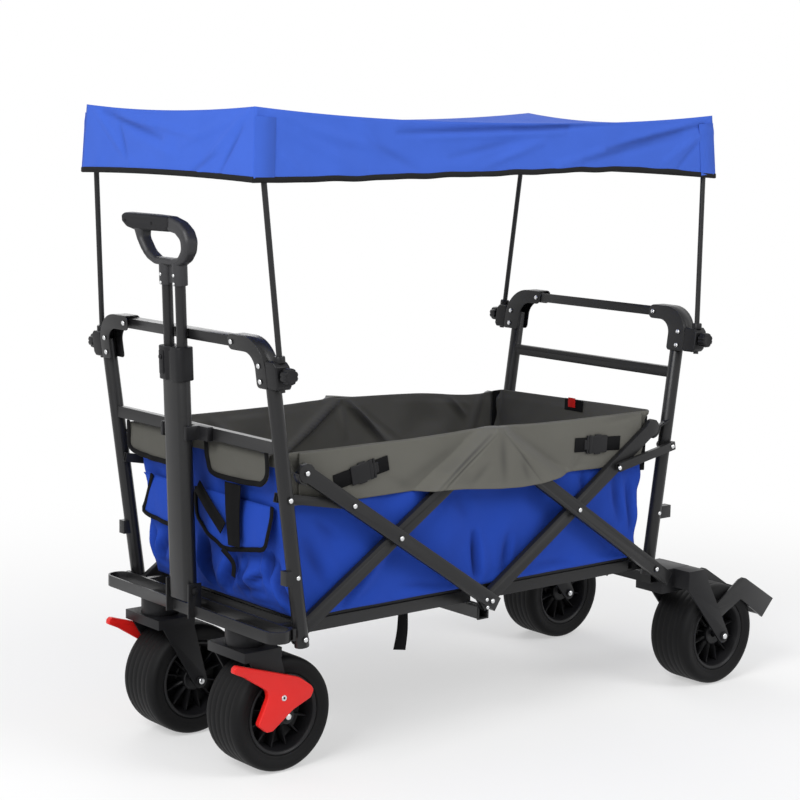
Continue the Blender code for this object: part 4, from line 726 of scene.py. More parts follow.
def strap(name, route, outward, width, thickness=0.0018, count=20, taper=None, finish="black_webbing"):
    """A piece of webbing on the tub along cart places; taper gives its width's share at both ends."""
    shares = None if taper is None else np.linspace(*taper, count)
    path = moved(smooth_path(route, count))
    tub_piece(tape(name, path, outward, width, thickness, taper=shares), finish)


# Canopy

CANOPY_LENGTH = 0.527
CANOPY_WIDTH = 0.2515
CANOPY_FLARE = 0.0068
CANOPY_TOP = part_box("canopy")[1].z
CANOPY_HEM = 0.999
STRIP_WIDTH = 0.040
NEAR_FOLDS = folds(
    (515, 1108, 335, 1068, 7, 4), (350, 1072, 120, 1020, 8, 4.6), (500, 1096, 240, 1050, 6, -3.6),
    (440, 1078, 180, 1030, 10, -3), (505, 1082, 390, 1026, 7, 3), (480, 1060, 420, 1012, 6, -2.4),
    (300, 1100, 20, 1082, 6, -3), (150, 1089, -240, 1076, 6, -4.6), (140, 1080, -180, 1068, 6, 3),
    (85, 1062, -60, 1018, 7, 3.8), (30, 1066, -130, 1036, 8, -2.4), (-496, 1106, -340, 1060, 8, 3),
    (-470, 1036, -436, 1012, 5, 2.8), (-440, 1078, -240, 1044, 9, 2.6), (-500, 1092, -320, 1016, 9, 2.4),
    (-300, 1060, -200, 1018, 9, -2),
)
FRONT_FOLDS = folds(
    (222, 1104, 100, 1018, 6, 3.8), (195, 1102, 10, 1060, 7, -3.8), (150, 1094, 30, 1078, 6, 4),
    (60, 1086, -100, 1064, 6, 3.6), (100, 1060, -40, 1030, 9, 2.4), (140, 1078, 108, 1024, 6, -3),
    (-232, 1106, -100, 1008, 6, 4.2), (-218, 1080, -160, 1010, 5, -3.4), (-205, 1096, -50, 1052, 7, 3),
    (-150, 1040, -80, 1006, 7, -2.6),
)
# each wall's way out and how many columns its grid has
WALLS = {
    "near": ((0, -1, 0), 220),
    "far": ((0, 1, 0), 220),
    "front": ((-1, 0, 0), 104),
    "rear": ((1, 0, 0), 104),
}
ROUND_THE_HEM = ("near", "rear", "far", "front")


def canopy_sheet(along, across):
    """The canopy's sagging cloth at shares from -1 to 1 of its half length and half width: x, y and z."""
    end_sag = 0.012 + 0.004 * np.tanh(3 * along)
    sag = 0.0195 * (1 - np.abs(along) ** 2.4) + end_sag * (1 - across**2)
    sag = sag + 0.012 * (1 - along**2) * (1 - across**2)
    return along * CANOPY_LENGTH, across * CANOPY_WIDTH, CANOPY_TOP - 0.0005 - sag


def canopy_top():
    """The canopy's top with the small rays of tension that run in from its corners."""
    u, v = grid(220, 104)
    along, across = u * 2 - 1, v * 2 - 1
    x, y, z = canopy_sheet(along, across)
    inside = (1 - along**2) * (1 - across**2)
    for corner_x in (-1, 1):
        for corner_y in (-1, 1):
            dx, dy = 1 - along * corner_x, (1 - across * corner_y) / 2
            far = np.hypot(dx, dy)
            rays = np.sin(np.arctan2(dy, dx + 1e-6) * 11 + corner_x)
            z = z + 0.0018 * rays * np.exp(-far * 2.5) * np.minimum(far * 6, 1) * inside
    return np.stack([x, y, z], axis=-1), np.stack([x, y], axis=-1)


def side_hem(along):
    """How far the valance's hem lies above its corners along the near and far sides."""
    x = along * CANOPY_LENGTH
    rise = 0.0135 * bell(x, 0.25, 0.26) + 0.004 * bell(x, -0.12, 0.20)
    return (rise + 0.0006 * np.sin(x * 47 + 0.7) + 0.0004 * np.sin(x * 81)) * (1 - along**8)


def canopy_wall(outward, count):
    """One wall of the valance from its top edge to its hem: points, flat places and depth in the folds, which
    sets their painted shade.
    """
    u, drop = grid(count, 26)
    share = u * 2 - 1
    way = sum(outward)
    end = np.full_like(u, way)
    is_side = outward[1] != 0
    x, y, z = canopy_sheet(share, end) if is_side else canopy_sheet(end, share)
    hem = CANOPY_HEM - 0.002 + (side_hem(share) if is_side else 0.004 * (1 - share**2))
    if is_side and way > 0:
        hem = hem + 0.006 * (1 - share**4)
    z = z + (hem - z) * drop
    flats = np.stack([x if is_side else y, z], axis=-1)
    lines = NEAR_FOLDS if is_side else FRONT_FOLDS
    if way > 0:
        lines = [((-a[0], a[1]), (-b[0], b[1]), w, h) for a, b, w, h in lines]
    push = ridges(flats, lines) + ripple(flats, 11 if is_side else 5, 0.16, 0.0012)
    push = push * np.minimum(drop / 0.08, 1) * np.minimum((1 - share**2) * 14, 1) * (1 - 0.25 * drop)
    flare = CANOPY_FLARE * drop
    push = way * (flare + soft_least(push, 0.0045, 0.0008))
    if is_side:
        x, y = x * (1 + flare / CANOPY_LENGTH), y + push
    else:
        x, y = x + push, y * (1 + flare / CANOPY_WIDTH)
    return np.stack([x, y, z], axis=-1), flats, valleys(flats, lines, 0.0040) * 0.6


class CART_OT_make_canopy(bpy.types.Operator):
    """Make the canopy: one sagging sheet with its valance, its binding and its corner strips"""

    bl_idname = "cart.make_canopy"
    bl_label = "Make canopy"

    def execute(self, context):
        parts = [(*canopy_top(), (0, 0, 1))]
        hems, strips = {}, []
        for side, (outward, count) in WALLS.items():
            points, flats, creases = canopy_wall(outward, count)
            parts.append((points, flats, outward, 0, creases))
            hems[side] = (points[-1] if side in ("near", "rear") else points[-1][::-1])[:-1]
            for end in ((-1, 1) if outward[1] else ()):
                share = (1 - (STRIP_WIDTH / 2 + 0.0015) / CANOPY_LENGTH) * end
                column = int(round((share + 1) / 2 * (count - 1)))
                line = moved(points)[3:-1, column] + np.array(outward) * 0.0003
                strips.append(tape(f"canopy_strip_{side}_{end + 1}", line, outward, STRIP_WIDTH, 0.0009))
        cloth = cloth_piece("canopy_cloth", parts, 0.0018)
        settle(cloth, "canopy_polyester", "canopy", "canopy_fabric", "canopy")
        normals = np.concatenate([np.tile(WALLS[side][0], (len(hems[side]), 1)) for side in ROUND_THE_HEM])
        loop = moved(np.concatenate([hems[side] for side in ROUND_THE_HEM]))
        loop = loop - normals * 0.0026 + (0, 0, 0.0035)
        binding = tape("canopy_binding", loop, normals, 0.0098, 0.0036, closed=True)
        settle(binding, "grey_black_binding", "canopy", "canopy_fabric")
        strip = join_pieces("canopy_corner_strips", strips)
        settle(strip, "corner_strip_polyester", "canopy", "canopy_fabric")
        for piece in (cloth, binding, strip):
            flatten(piece, -CANOPY_LENGTH, CANOPY_LENGTH)
        return {"FINISHED"}


# Tub

TUB_LENGTH = 0.43
TUB_WIDTH = 0.2195
TUB_FLOOR = 0.2775
TUB_CORNER = 0.020
TUB_STEP = 0.005
TUB_HOLDERS = (-0.516, 0.534)
BAND_START = -0.412
BAND_LENGTH = 0.808
BAND_STAND = 0.0300
FLOOR_HALF_WIDTH = 0.209
BLUE_ROWS = 42
BAND_ROWS = 20
LINING_GAP = 0.0042
TUB_HEM = ((0.965, 0.0006), (0.992, 0.0012))
TUB_LIP = ((0.2, 0.0015), (0.5, 0.0022), (0.8, 0.0015))
NEAR_TUB_FOLDS = folds(
    (8, 556, -124, 466, 6, -3.5), (-6, 545, -135, 466, 4, 1.8), (22, 555, 150, 452, 6, -3.5),
    (34, 555, 160, 462, 5, 1.6), (-16, 370, -10, 284, 7, -5), (4, 350, 8, 290, 12, 1.6),
    (63, 350, 61, 300, 10, -3), (-217, 384, -313, 282, 6, -3.6), (-205, 380, -295, 286, 12, 1.4),
    (-392, 400, -352, 330, 16, -3), (-372, 436, -330, 402, 12, -2), (-300, 440, -240, 400, 12, -1.8),
    (250, 448, 262, 402, 9, -2.6), (330, 440, 352, 350, 10, -3.4), (372, 420, 384, 320, 8, -3.6),
    (300, 330, 360, 290, 10, -2.6), (190, 400, 130, 330, 20, -2.4), (-60, 440, -40, 400, 18, -1.8),
    (300, 548, 400, 556, 7, -2.6), (306, 542, 345, 520, 6, -2.4), (-430, 540, -380, 500, 10, -2.6),
    (5, 540, 20, 490, 10, -3), (-180, 300, -80, 286, 8, -2), (120, 296, 220, 288, 8, -2),
)
LINING_FOLDS = folds(
    (8, 558, -124, 466, 7, -11), (22, 556, 122, 460, 7, -11), (-124, 466, -170, 420, 12, -5),
    (122, 460, 180, 400, 12, -5), (283, 540, 332, 499, 8, -8), (-300, 545, -220, 480, 10, -7),
    (-410, 550, -340, 500, 10, -6), (380, 545, 352, 470, 9, -6),
)
FRONT_TUB_FOLDS = folds(
    (-163, 375, -163, 330, 7, -6), (-176, 362, -205, 296, 8, -6), (-118, 324, -146, 338, 7, -5),
    (-100, 350, -90, 300, 9, -4), (-55, 352, -30, 296, 10, -6), (30, 370, 6, 300, 9, -6),
    (70, 350, 100, 300, 10, -4), (150, 360, 165, 310, 8, -5), (190, 360, 180, 310, 8, -4),
    (-140, 310, -60, 302, 8, -4), (100, 312, 170, 305, 8, -4), (-130, 345, -70, 318, 18, 6),
    (50, 330, 120, 318, 20, 5),
)
BAND_HEM = metres(
    (-432.6, 468.9), (-360, 466.2), (-284, 464.7), (-129.3, 466.2), (-77.5, 463.3), (5.2, 454.8),
    (60, 452.2), (109, 453), (152.4, 458.5), (200, 460.8), (275, 458.7), (409.8, 457),
)
BAND_FOLDS = folds(
    (-10, 553, -136, 465, 2.4, -7), (-1, 553, -123, 465, 2.4, -6), (-6, 553, -130, 465, 3.6, 2),
    (20, 553, 112, 455, 2.6, -5.5), (30, 553, 126, 455, 4, 2), (60, 548, 190, 470, 12, -3),
    (-60, 540, -190, 480, 14, -3), (12, 545, 20, 470, 12, -5), (-20, 500, -60, 470, 10, -4),
    (60, 500, 80, 462, 10, -4), (300, 548, 400, 556, 8, -3), (250, 500, 215, 466, 10, -2.4),
    (-230, 500, -170, 472, 12, -2.4), (-430, 548, -390, 500, 10, -2.4),
)


def tub_plan():
    """Places round the tub's rounded rectangle, from the middle of its front, and the ways out there."""
    x, y, r = TUB_LENGTH, TUB_WIDTH, TUB_CORNER
    sides = (
        ((-x, 0), (-x, r - y), (-1, 0)),
        ((r - x, -y), (x - r, -y), (0, -1)),
        ((x, r - y), (x, y - r), (1, 0)),
        ((x - r, y), (r - x, y), (0, 1)),
        ((-x, y - r), (-x, 0), (-1, 0)),
    )
    points, normals = [], []
    for i, side in enumerate(sides):
        start, end, normal = (np.array(values, float) for values in side)
        for t in np.linspace(0, 1, max(4, int(math.dist(start, end) / TUB_STEP))):
            points.append(start * (1 - t) + end * t)
            normals.append(normal)
        if i < 4:
            following = np.array(sides[i + 1][2], float)
            for angle in np.linspace(0, math.pi / 2, 9)[1:-1]:
                out = normal * math.cos(angle) + following * math.sin(angle)
                points.append(end + (out - normal) * r)
                normals.append(out)
    return np.array(points), np.array(normals)


def tub_seam(x, normal):
    """Height of the seam between the blue and the grey cloth."""
    side = 0.4635 + 0.004 * np.clip(-x / TUB_LENGTH, 0, 1) - 0.0045 * np.clip(x / TUB_LENGTH, 0, 1)
    side = side - 0.011 * bell(x, 0.055, 0.075, 4)
    end = np.where(x < 0, 0.532, 0.462)
    share = np.clip(np.abs(normal[:, 0]) * 1.6, 0, 1)
    return side * (1 - share) + end * share


def tub_rim(x, y):
    """Height of the tub's rim."""
    near = 0.5540 + 0.005 * bell(x, 0.01, 0.10)
    far = 0.5540 + 0.004 * bell(x, 0.01, 0.10) - 0.016 * bell(x, 0.36, 0.11)
    t = np.clip((y + TUB_WIDTH) / (2 * TUB_WIDTH), 0, 1)
    return near * (1 - t) + far * t


def tub_skin(lining):
    """The tub's wall as rows of points from its floor up to its rim, its outer cloth or its lining, with the
    depth of each point in the folds, which sets their painted shade.
    """
    plan, normals = tub_plan()
    seam, rim = tub_seam(plan[:, 0], normals), tub_rim(*plan.T)
    levels = [TUB_FLOOR + (seam - TUB_FLOOR) * t for t in np.linspace(0, 1, BLUE_ROWS)]
    levels += [seam + (rim - seam) * t for t in np.linspace(0, 1, BAND_ROWS)[1:]]
    z = np.array(levels)
    rise = (z - TUB_FLOOR) / (rim - TUB_FLOOR)
    # the front wall leans from x = -0.412 to -0.452, the rear one from 0.402 to 0.434
    front = -0.412 - 0.040 * rise
    rear = 0.402 + 0.032 * rise
    x = front + (rear - front) * (plan[:, 0] / TUB_LENGTH + 1) / 2
    y = np.tile(plan[:, 1], (len(z), 1))
    out_x, out_y = (np.tile(normals[:, k], (len(z), 1)) for k in (0, 1))
    side_places = np.stack([x, z], axis=-1)
    end_places = np.stack([y, z], axis=-1)
    on_side, on_front, on_rear = (np.clip(way * 1.5 - 0.5, 0, 1) for way in (np.abs(out_y), -out_x, out_x))

    softer = [(a, b, w, h * 0.9) for a, b, w, h in NEAR_TUB_FOLDS]
    lines = gathers(side_places, NEAR_TUB_FOLDS, 0.5) * (y < 0) + gathers(side_places, softer, 0.5) * (y >= 0)
    push = on_side * (lines * 2.3 + ripple(side_places, 3, 0.11, 0.0036) - 0.0044)
    belly = bell(rise, 0.16, 0.14)
    front_push = gathers(end_places, FRONT_TUB_FOLDS) * 2.6 + ripple(end_places, 8, 0.09, 0.004)
    front_push = front_push + belly * (0.011 + 0.004 * np.sin(y * 46 + 0.8))
    rear_push = ridges(end_places, FRONT_TUB_FOLDS) * 0.5 + ripple(end_places, 9, 0.10, 0.003) + belly * 0.004
    push = push + on_front * front_push + on_rear * (rear_push - 0.004)
    pucker = np.abs(out_x * out_y) * 2
    push = push + pucker * np.where(x > 0, 0.003 * np.sin(z * 92) - 0.004, -0.002)
    push = push * np.clip(rise / 0.06, 0.25, 1) * np.clip((1 - rise) / 0.05, 0.35, 1)
    # the side walls stay inside the arms, and the end walls inside the posts
    limit = np.where(np.abs(out_y) > 0.7, 0.0012, 0.024 + 0.012 * np.clip(rise / 0.4, 0, 1))
    push = soft_least(push, limit, 0.0012)
    if lining:
        inner = push * 0.7 - LINING_GAP + ripple(side_places, 21, 0.07, 0.0016) * on_side
        push = np.minimum(inner + ridges(side_places, LINING_FOLDS) * on_side, push - 0.0030)
        # painted shade in the folds' valleys on the lining's sides
        painted_shade = valleys(side_places, LINING_FOLDS, 0.009) * on_side
    else:
        # painted shade in the folds' valleys on the sides and the front
        painted_shade = valleys(side_places, NEAR_TUB_FOLDS, 0.0046) * on_side
        painted_shade = painted_shade + valleys(end_places, FRONT_TUB_FOLDS, 0.0045) * on_front
    return np.stack([x + out_x * push, y + out_y * push, z], axis=-1), painted_shade


def over_arms(x, z):
    """How far the grey band stands out, from 0 on the tub's wall to 1 over the arms' middle tips."""
    edge = LOW_Z + (HALF_SPAN - np.abs(x)) * ARM_SLOPE + 0.0205
    above = (z - edge) * math.cos(math.atan(ARM_SLOPE))
    share = np.clip(above / np.where(x > 0, 0.042, 0.022), 0, 1)
    return 1 - share * share * (3 - 2 * share)


def band_side(side):
    """The grey band on one side as a grid of points, from the rim down to its hem."""
    u, v = grid(400, 48)
    x = BAND_START + u * BAND_LENGTH
    hem = np.interp(x[0], *np.array(BAND_HEM).T)
    rim = tub_rim(x[0], side * TUB_WIDTH) + 0.0004 + 0.0035 * bell(x[0], 0, 0.035)
    z = rim + (hem - rim) * np.clip((v - 0.06) / 0.94, 0, 1)
    flats = np.stack([x, z], axis=-1)
    stand = over_arms(x, z) * BAND_STAND
    push = ridges(flats, BAND_FOLDS) + ripple(flats, 17 + side, 0.10, 0.0016)
    push = np.clip(push, -0.006, 0.002) * np.where(stand > 0.02, 0.35, 1.0)
    roof = np.clip(v / 0.06, 0, 1)
    reach = TUB_WIDTH + 0.0012 + np.maximum(stand + push, 0.0) * roof - 0.003 * (1 - roof)
    reach = reach + 0.0015 * np.clip((v - 0.9) / 0.1, 0, 1) * (stand > 0.01)
    # the last entry is the depth in the folds, which sets their painted shade
    return np.stack([x, side * reach, z], axis=-1), flats, (0, side, 0), 0, valleys(flats, BAND_FOLDS, 0.0080)


def floor_cloth(start, end):
    """The lining's floor on one board, with its stitched edges and a seam across it."""
    u, v = grid(60, 56)
    x, y = start + u * (end - start), (v * 2 - 1) * FLOOR_HALF_WIDTH
    edge = 1 - np.maximum(np.abs(u * 2 - 1), np.abs(v * 2 - 1)) ** 24
    flats = np.stack([x, y], axis=-1)
    quilted = 0.0012 - 0.0008 * bell(np.abs(x), 0.2, 0.005)
    z = TUB_FLOOR + 0.0008 + quilted * edge + ripple(flats, 4, 0.12, 0.0003)
    return np.stack([x, y, z], axis=-1), flats, (0, 0, 1)


class CART_OT_make_tub(bpy.types.Operator):
    """Make the tub: outer cloth, lining, the grey bands over its sides, and its floor"""

    bl_idname = "cart.make_tub"
    bl_label = "Make tub"

    def execute(self, context):
        outer, outer_painted_shade = tub_skin(False)
        inner, inner_painted_shade = tub_skin(True)
        # the outer cloth turns in under the tub, and over a rounded lip into the lining
        hem = [outer[0] * (share, share, 1) - (0, 0, low) for share, low in TUB_HEM]
        lip = [outer[-1] * (1 - t) + inner[-1] * t + (0, 0, high) for t, high in TUB_LIP]
        points = np.array([*hem, *outer, *lip, *inner[::-1]])
        # painted shade in the folds: none on the hem and the lip
        plain = np.zeros((5, outer.shape[1]))
        painted_shade = np.concatenate([plain[:2], outer_painted_shade, plain[2:], inner_painted_shade[::-1]])
        climb = np.concatenate([[0], np.cumsum(np.linalg.norm(np.diff(points, axis=0), axis=2).mean(axis=1))])
        uv = np.stack(np.meshgrid(path_run(tub_plan()[0]), climb), axis=-1)
        colours = [0] * (1 + BLUE_ROWS) + [1] * (1 + BAND_ROWS) + [2] * len(points)
        tub = cloth_piece("tub_cloth", [(points, uv, (-1, 0, 0), colours, painted_shade)])
        for name in ("tub_polyester", "band_polyester", "lining_polyester"):
            tub.data.materials.append(bpy.data.materials[name])
        settle(tub, None, "front", "tub_fabric", "tub")
        flatten(tub, *TUB_HOLDERS)
        for side, tag in SIDES:
            band = cloth_piece(f"rim_band_{tag}", [band_side(side)], 0.0016)
            tub_piece(band, "band_polyester")
        for word, start, end in (("front", -0.395, -0.003), ("rear", 0.003, 0.395)):
            pad = cloth_piece(f"tub_floor_cloth_{word}", [floor_cloth(start, end)], 0.0012)
            settle(pad, "lining_polyester", f"floor_{word}", "tub_fabric")
        return {"FINISHED"}


# Front flaps, pockets and webbing

FLAP_TOP = metres(
    (-208, 556), (-120, 557), (-32, 556.5),
)
FLAP_BORDER = metres(
    (-208, 556), (-208.8, 535), (-209, 515), (-200, 504.5), (-186.4, 501.5), (-140, 498.5), (-83.2, 498),
    (-62, 499.5), (-47.6, 506), (-40, 522), (-34.5, 540), (-32, 556.5),
)
LID_TOP = metres(
    (-198.5, 464), (-90, 464), (23, 464),
)
LID_BORDER = metres(
    (-198.5, 464), (-195.5, 440), (-187, 410), (-176.7, 390), (-156, 385), (-110, 377), (-61, 370.5),
    (-35, 380), (-6.6, 394), (18, 410.8), (22.5, 440), (23, 464),
)
FAR_LID_TOP = metres(
    (198.5, 464), (140, 464), (60, 464),
)
FAR_LID_BORDER = metres(
    (163, 464), (174, 435), (183, 412), (190.9, 396), (180, 390), (144.8, 385.6), (99.6, 382.6), (80, 384),
    (70, 395), (64, 425), (61, 450), (60, 464),
)
# finish, x of the top and of the border, bulge, and the binding's lift and width
FLAP = ("flap_polyester", (-0.4590, -0.4680), 0.004, 0.003, 0.0095)
LID = ("tub_polyester", (-0.4455, -0.4490), 0.005, 0.002, 0.0085)
# places in millimetres; the taper is the width's share at both ends
STRAPS = (
    ("front_webbing", (-462, -104, 492), (-462, -104, 440), (-460, -106, 385), 0.040, (1.16, 0.84)),
    ("front_webbing_loop", (-457, 8, 470), (-461, -34, 441), (-462, -76, 411), 0.026, None),
    ("front_webbing_tail", (-459, -70, 374), (-452, -92, 353), (-449, -89, 328), 0.011, None),
)


def hung_flap(name, top, border, seed, flat_size, finish, planes, bulge, lift, width):
    """A flap or pocket lid between its top edge and its free border, as (y, z) places, with its binding.

    Its top is at x = planes[0] and its border at planes[1]. The binding is width wide, lift above the border.
    """
    v = np.linspace(0, 1, 18)[:, None]
    flat = smooth_path(top, 44) * (1 - v[..., None]) + smooth_path(border, 44) * v[..., None]
    swell = np.sin(np.pi * v**0.8) * np.sin(np.pi * np.linspace(0, 1, 44)) ** 0.6
    x = planes[0] + (planes[1] - planes[0]) * v - bulge * swell + ripple(flat, seed, 0.05, 0.0018) * v
    points = np.stack([x, flat[..., 0], flat[..., 1]], axis=-1)
    flap = cloth_piece(name, [(points, flat, (-1, 0, 0))], 0.0022)
    tub_piece(flap, finish)
    line = moved(points)[-1] + np.array([-0.0004, 0, lift])
    word, tag = name[:-2], name[-1]
    tub_piece(tape(f"{word}_binding_{tag}", line, (-1, 0, 0), width, 0.0032), "black_webbing")


class CART_OT_make_front_cloth(bpy.types.Operator):
    """Make the front wall's flaps and pocket lids with their bindings, the webbing and the rear tab"""

    bl_idname = "cart.make_front_cloth"
    bl_label = "Make front cloth"

    def execute(self, context):
        for tag, way in (("l", 1), ("r", -1)):
            top, border = ([(y * way, z) for y, z in line] for line in (FLAP_TOP, FLAP_BORDER))
            hung_flap("front_flap_" + tag, top, border, 31 + way, (0.18, 0.062), *FLAP)
        for tag, top, border in (("l", LID_TOP, LID_BORDER), ("r", FAR_LID_TOP, FAR_LID_BORDER)):
            hung_flap("pocket_lid_" + tag, top, border, 41, (abs(top[0][0] - top[-1][0]), 0.085), *LID)
        for name, *route, width, taper in STRAPS:
            strap(name, metres(*route), (-1, 0, 0), width, taper=taper)
        route = metres((-85, -100, 247), (-85, -100, 220), (-86, -100, 180), (-92, -100, 145))
        strap("hanging_strap", route, (0, -1, 0), 0.022, taper=(0.9, 1.35))
        route = metres((424.2, -10.5, 552), (424.2, -10.5, 540), (423.6, -10.5, 529))
        strap("rear_patch", route, (-1, 0, 0), 0.050, count=8)
        route = metres((422.2, -7, 554.5), (421.6, -7, 545), (422, -7, 536))
        strap("rear_red_tab", route, (-1, 0, 0), 0.020, 0.0016, 8, finish="red_webbing")
        for side, tag in SIDES:
            route = metres((415, side * 209, 544), (414, side * 208, 505), (412, side * 208, 440))
            strap("rear_corner_band_" + tag, route, (0, -side, 0), 0.020, 0.0016, 14)
        return {"FINISHED"}


# Buckles

BUCKLE_MIDDLE = 0.0062
# each box's size, its place along and across the buckle, and its rounding, in millimetres
BUCKLE_BOXES = metres(
    (40, 32, 8.5, 4, 0, 1.6), (8, 34, 10, 27, 0, 1.6), (4.5, 34, 9, 34.5, 0, 1.4), (14, 18, 6, 36, 0, 1.2),
    (16, 4, 7, 8, 16.5, 1.2), (16, 4, 7, 8, -16.5, 1.2),
)
BUCKLE_STRAP = metres((-52, 0, 0.6), (-30, 0, 0.7), (0, 0, 1), (66, 0, 0.8))
FLATTER = Matrix.Diagonal((1, 1, 0.36, 1))


class CART_OT_make_buckles(bpy.types.Operator):
    """Make the side-release buckles on the grey band, with their webbing"""

    bl_idname = "cart.make_buckles"
    bl_label = "Make buckles"

    def execute(self, context):
        for side, tag in SIDES:
            for word, x, z, lean in (("front", -0.290, 0.5080, 11), ("rear", 0.285, 0.5050, 177)):
                parts = [
                    bevelled_box("part", (length, width, height), (along, across, BUCKLE_MIDDLE), rounding)
                    for length, width, height, along, across, rounding in BUCKLE_BOXES
                ]
                buckle = join_pieces(f"buckle_{word}_{tag}", parts)
                where = facing(cart(x, side * (TUB_WIDTH + 0.0018), z), (0, side, 0))
                turn = Matrix.Rotation(math.radians(lean + 90 + 90 * side), 4, "Z")
                here = where @ turn @ FLATTER
                buckle.data.transform(here)
                tub_piece(buckle, "moulded_polypropylene", "black_plastic")
                path = smooth_path([here @ Vector(place) for place in BUCKLE_STRAP], 24)
                webbing = tape(f"buckle_strap_{word}_{tag}", path, (0, side, 0), 0.0265, 0.0014)
                tub_piece(webbing, "black_webbing", "black_plastic")
        return {"FINISHED"}


# Wheels

# profiles as (radius, height) from the middle of the width out to the side
TYRE_HALF = metres(
    (70.8, 30), (70.8, 43.6), (73.8, 45.2), (76.6, 45), (79, 45.8), (83.6, 47.4), (88.4, 48), (91.8, 47.4),
    (95, 45.6), (97.5, 42.5), (99, 38.5), (99.8, 33.5), (100, 28.5), (99.7, 28), (99.7, 26.8), (100, 26.2),
    (100, 15), (99.7, 14.5), (99.7, 13.2), (100, 12.6), (100, 2), (99.7, 1.4),
)
RIM_HALF = metres(
    (8, 33), (19.5, 34.5), (21.5, 33), (22.5, 12.5), (25, 10), (51, 9.5), (56.5, 12), (59.5, 26),
    (62.8, 40.5), (64.8, 43.8), (67.8, 44.9), (70, 43.6), (70.5, 40),
)
RIBS = 12
RIB_SIZE = (0.0390, 0.0026, 0.0220)
RIB_HEIGHT = 0.0200
RIB_MIDDLE = 0.0405
RIB_FACE = 0.0307
RIB_SLOPE = 0.004


def mirror_profile(half):
    """A closed profile from its half above height 0: up one side and back down the other."""
    return half + [(r, -h) for r, h in reversed(half)]


class CART_OT_make_wheels(bpy.types.Operator):
    """Make the four tyres and their ribbed rims"""

    bl_idname = "cart.make_wheels"
    bl_label = "Make wheels"

    def execute(self, context):
        steps = context.scene.cart_hard.round_steps
        tyre = turned("tyre", mirror_profile(TYRE_HALF), steps, 75)
        parts = [turned("rim", mirror_profile(RIM_HALF), steps)]
        for way in (1, -1):
            rib = bevelled_box("rib", RIB_SIZE, (RIB_MIDDLE, 0, way * RIB_HEIGHT), 0.0009)
            for point in rib.data.vertices:
                # the outer face slopes down to the hub
                if point.co.z * way > RIB_FACE and point.co.x < RIB_MIDDLE:
                    point.co.z -= way * RIB_SLOPE
            for i in range(RIBS):
                turn = Matrix.Rotation(math.tau * (i + 0.5) / RIBS, 4, "Z")
                parts.append(copy_piece(rib, f"rib_{way}_{i}", turn))
            remove_pieces(rib)
        rim = join_pieces("rim", parts)
        for word, x, y in AXLES:
            for side, tag in SIDES:
                where = along_y(cart(x, side * y, WHEEL_RADIUS))
                body = f"{word}_wheel_{tag}"
                soft = copy_piece(tyre, body + "_soft_tyre", where)
                settle(soft, "foamed_tyre_rubber", body, "tyre_rubber", body + "_tyre")
                settle_plastic(copy_piece(rim, body + "_ribbed_rim", where), body, body + "_rim")
        remove_pieces(tyre, rim)
        return {"FINISHED"}


# Brake levers, grip and knobs

LEVER = metres(
    (-101, 58), (-100, 66), (-94, 70), (-30, 50), (33, 30), (58, 12), (63, 3), (57, -9), (20, -24),
    (-22, -54), (-34, -54), (-50, -41), (-50, -36), (-30, 6), (-34, 18), (-80, 48),
)
LEVER_ROUND = [r / 1000 for r in (4, 5, 5, 40, 30, 12, 6, 8, 20, 6, 5, 6, 4, 20, 12, 12)]
GRIP_OUTLINE = metres(
    (139, 79), (131, 83), (44, 83), (-6, 82), (-34, 75), (-54, 62), (-63, 44), (-59, 24), (-46, 9),
    (-28, 0), (44, 0), (64, 7), (82, 22), (94, 38), (102, 54.5), (124, 58), (137, 66),
)
GRIP_ROUND = [0.006, 0.006] + [0.02] * 12 + [0.006, 0.008, 0.010]
GRIP_HOLE = metres(
    (77, 56.5), (10, 58.5), (-22, 54), (-38, 43), (-39, 29), (-28, 16), (-6, 12.5), (42, 12.5), (63, 23),
    (80, 44),
)
GRIP_PAD = metres(
    (138.5, 79.5), (131, 82.8), (44, 82.8), (-4, 81.6), (-13, 76.5), (-12.5, 64), (-2, 56.5), (103, 55),
    (123.5, 58.5), (137.5, 67),
)
GRIP_DEPTH = 0.026
PAD_DEPTH = 0.0284
SCREW_PLACES = metres((123, 70), (41, 69))
SCREW_FACE = 0.0138
GRIP_SCREW = metres((0, 0), (3, 0), (3, 0.6), (2.4, 0.8), (0, 0.2))
SLEEVE = metres((9.6, -32), (12.4, -32), (13, -30.5), (13, 6), (9.6, 6))
KNOB = metres(
    (0, 0), (5, 0), (5, 4), (10.8, 4), (13.4, 5.6), (13.6, 8), (13.6, 17), (12.8, 19.2), (10, 20.2),
    (8, 19.6), (0, 19.6),
)
KNOB_LOBES = 8
# the lobed part of the knob lies outside this radius and above this height
KNOB_CORE = 0.0095
KNOB_FOOT = 0.0045
KNOB_DENT = 0.13


def up_handle(distance, x=0.0, y=0.0):
    """A place on the pull handle: a distance up its leaning axis from the tilt bolt."""
    along = distance / math.sqrt(1 + HANDLE_LEAN**2)
    return cart(HANDLE_PIVOT[0] - along * HANDLE_LEAN + x, y, HANDLE_PIVOT[1] + along)


def on_handle(distance, y=0.0):
    """A frame on the pull handle whose local Z axis runs up it."""
    tilt = Matrix.Rotation(-math.atan(HANDLE_LEAN), 4, "Y")
    return Matrix.Translation(up_handle(distance, 0, y)) @ tilt


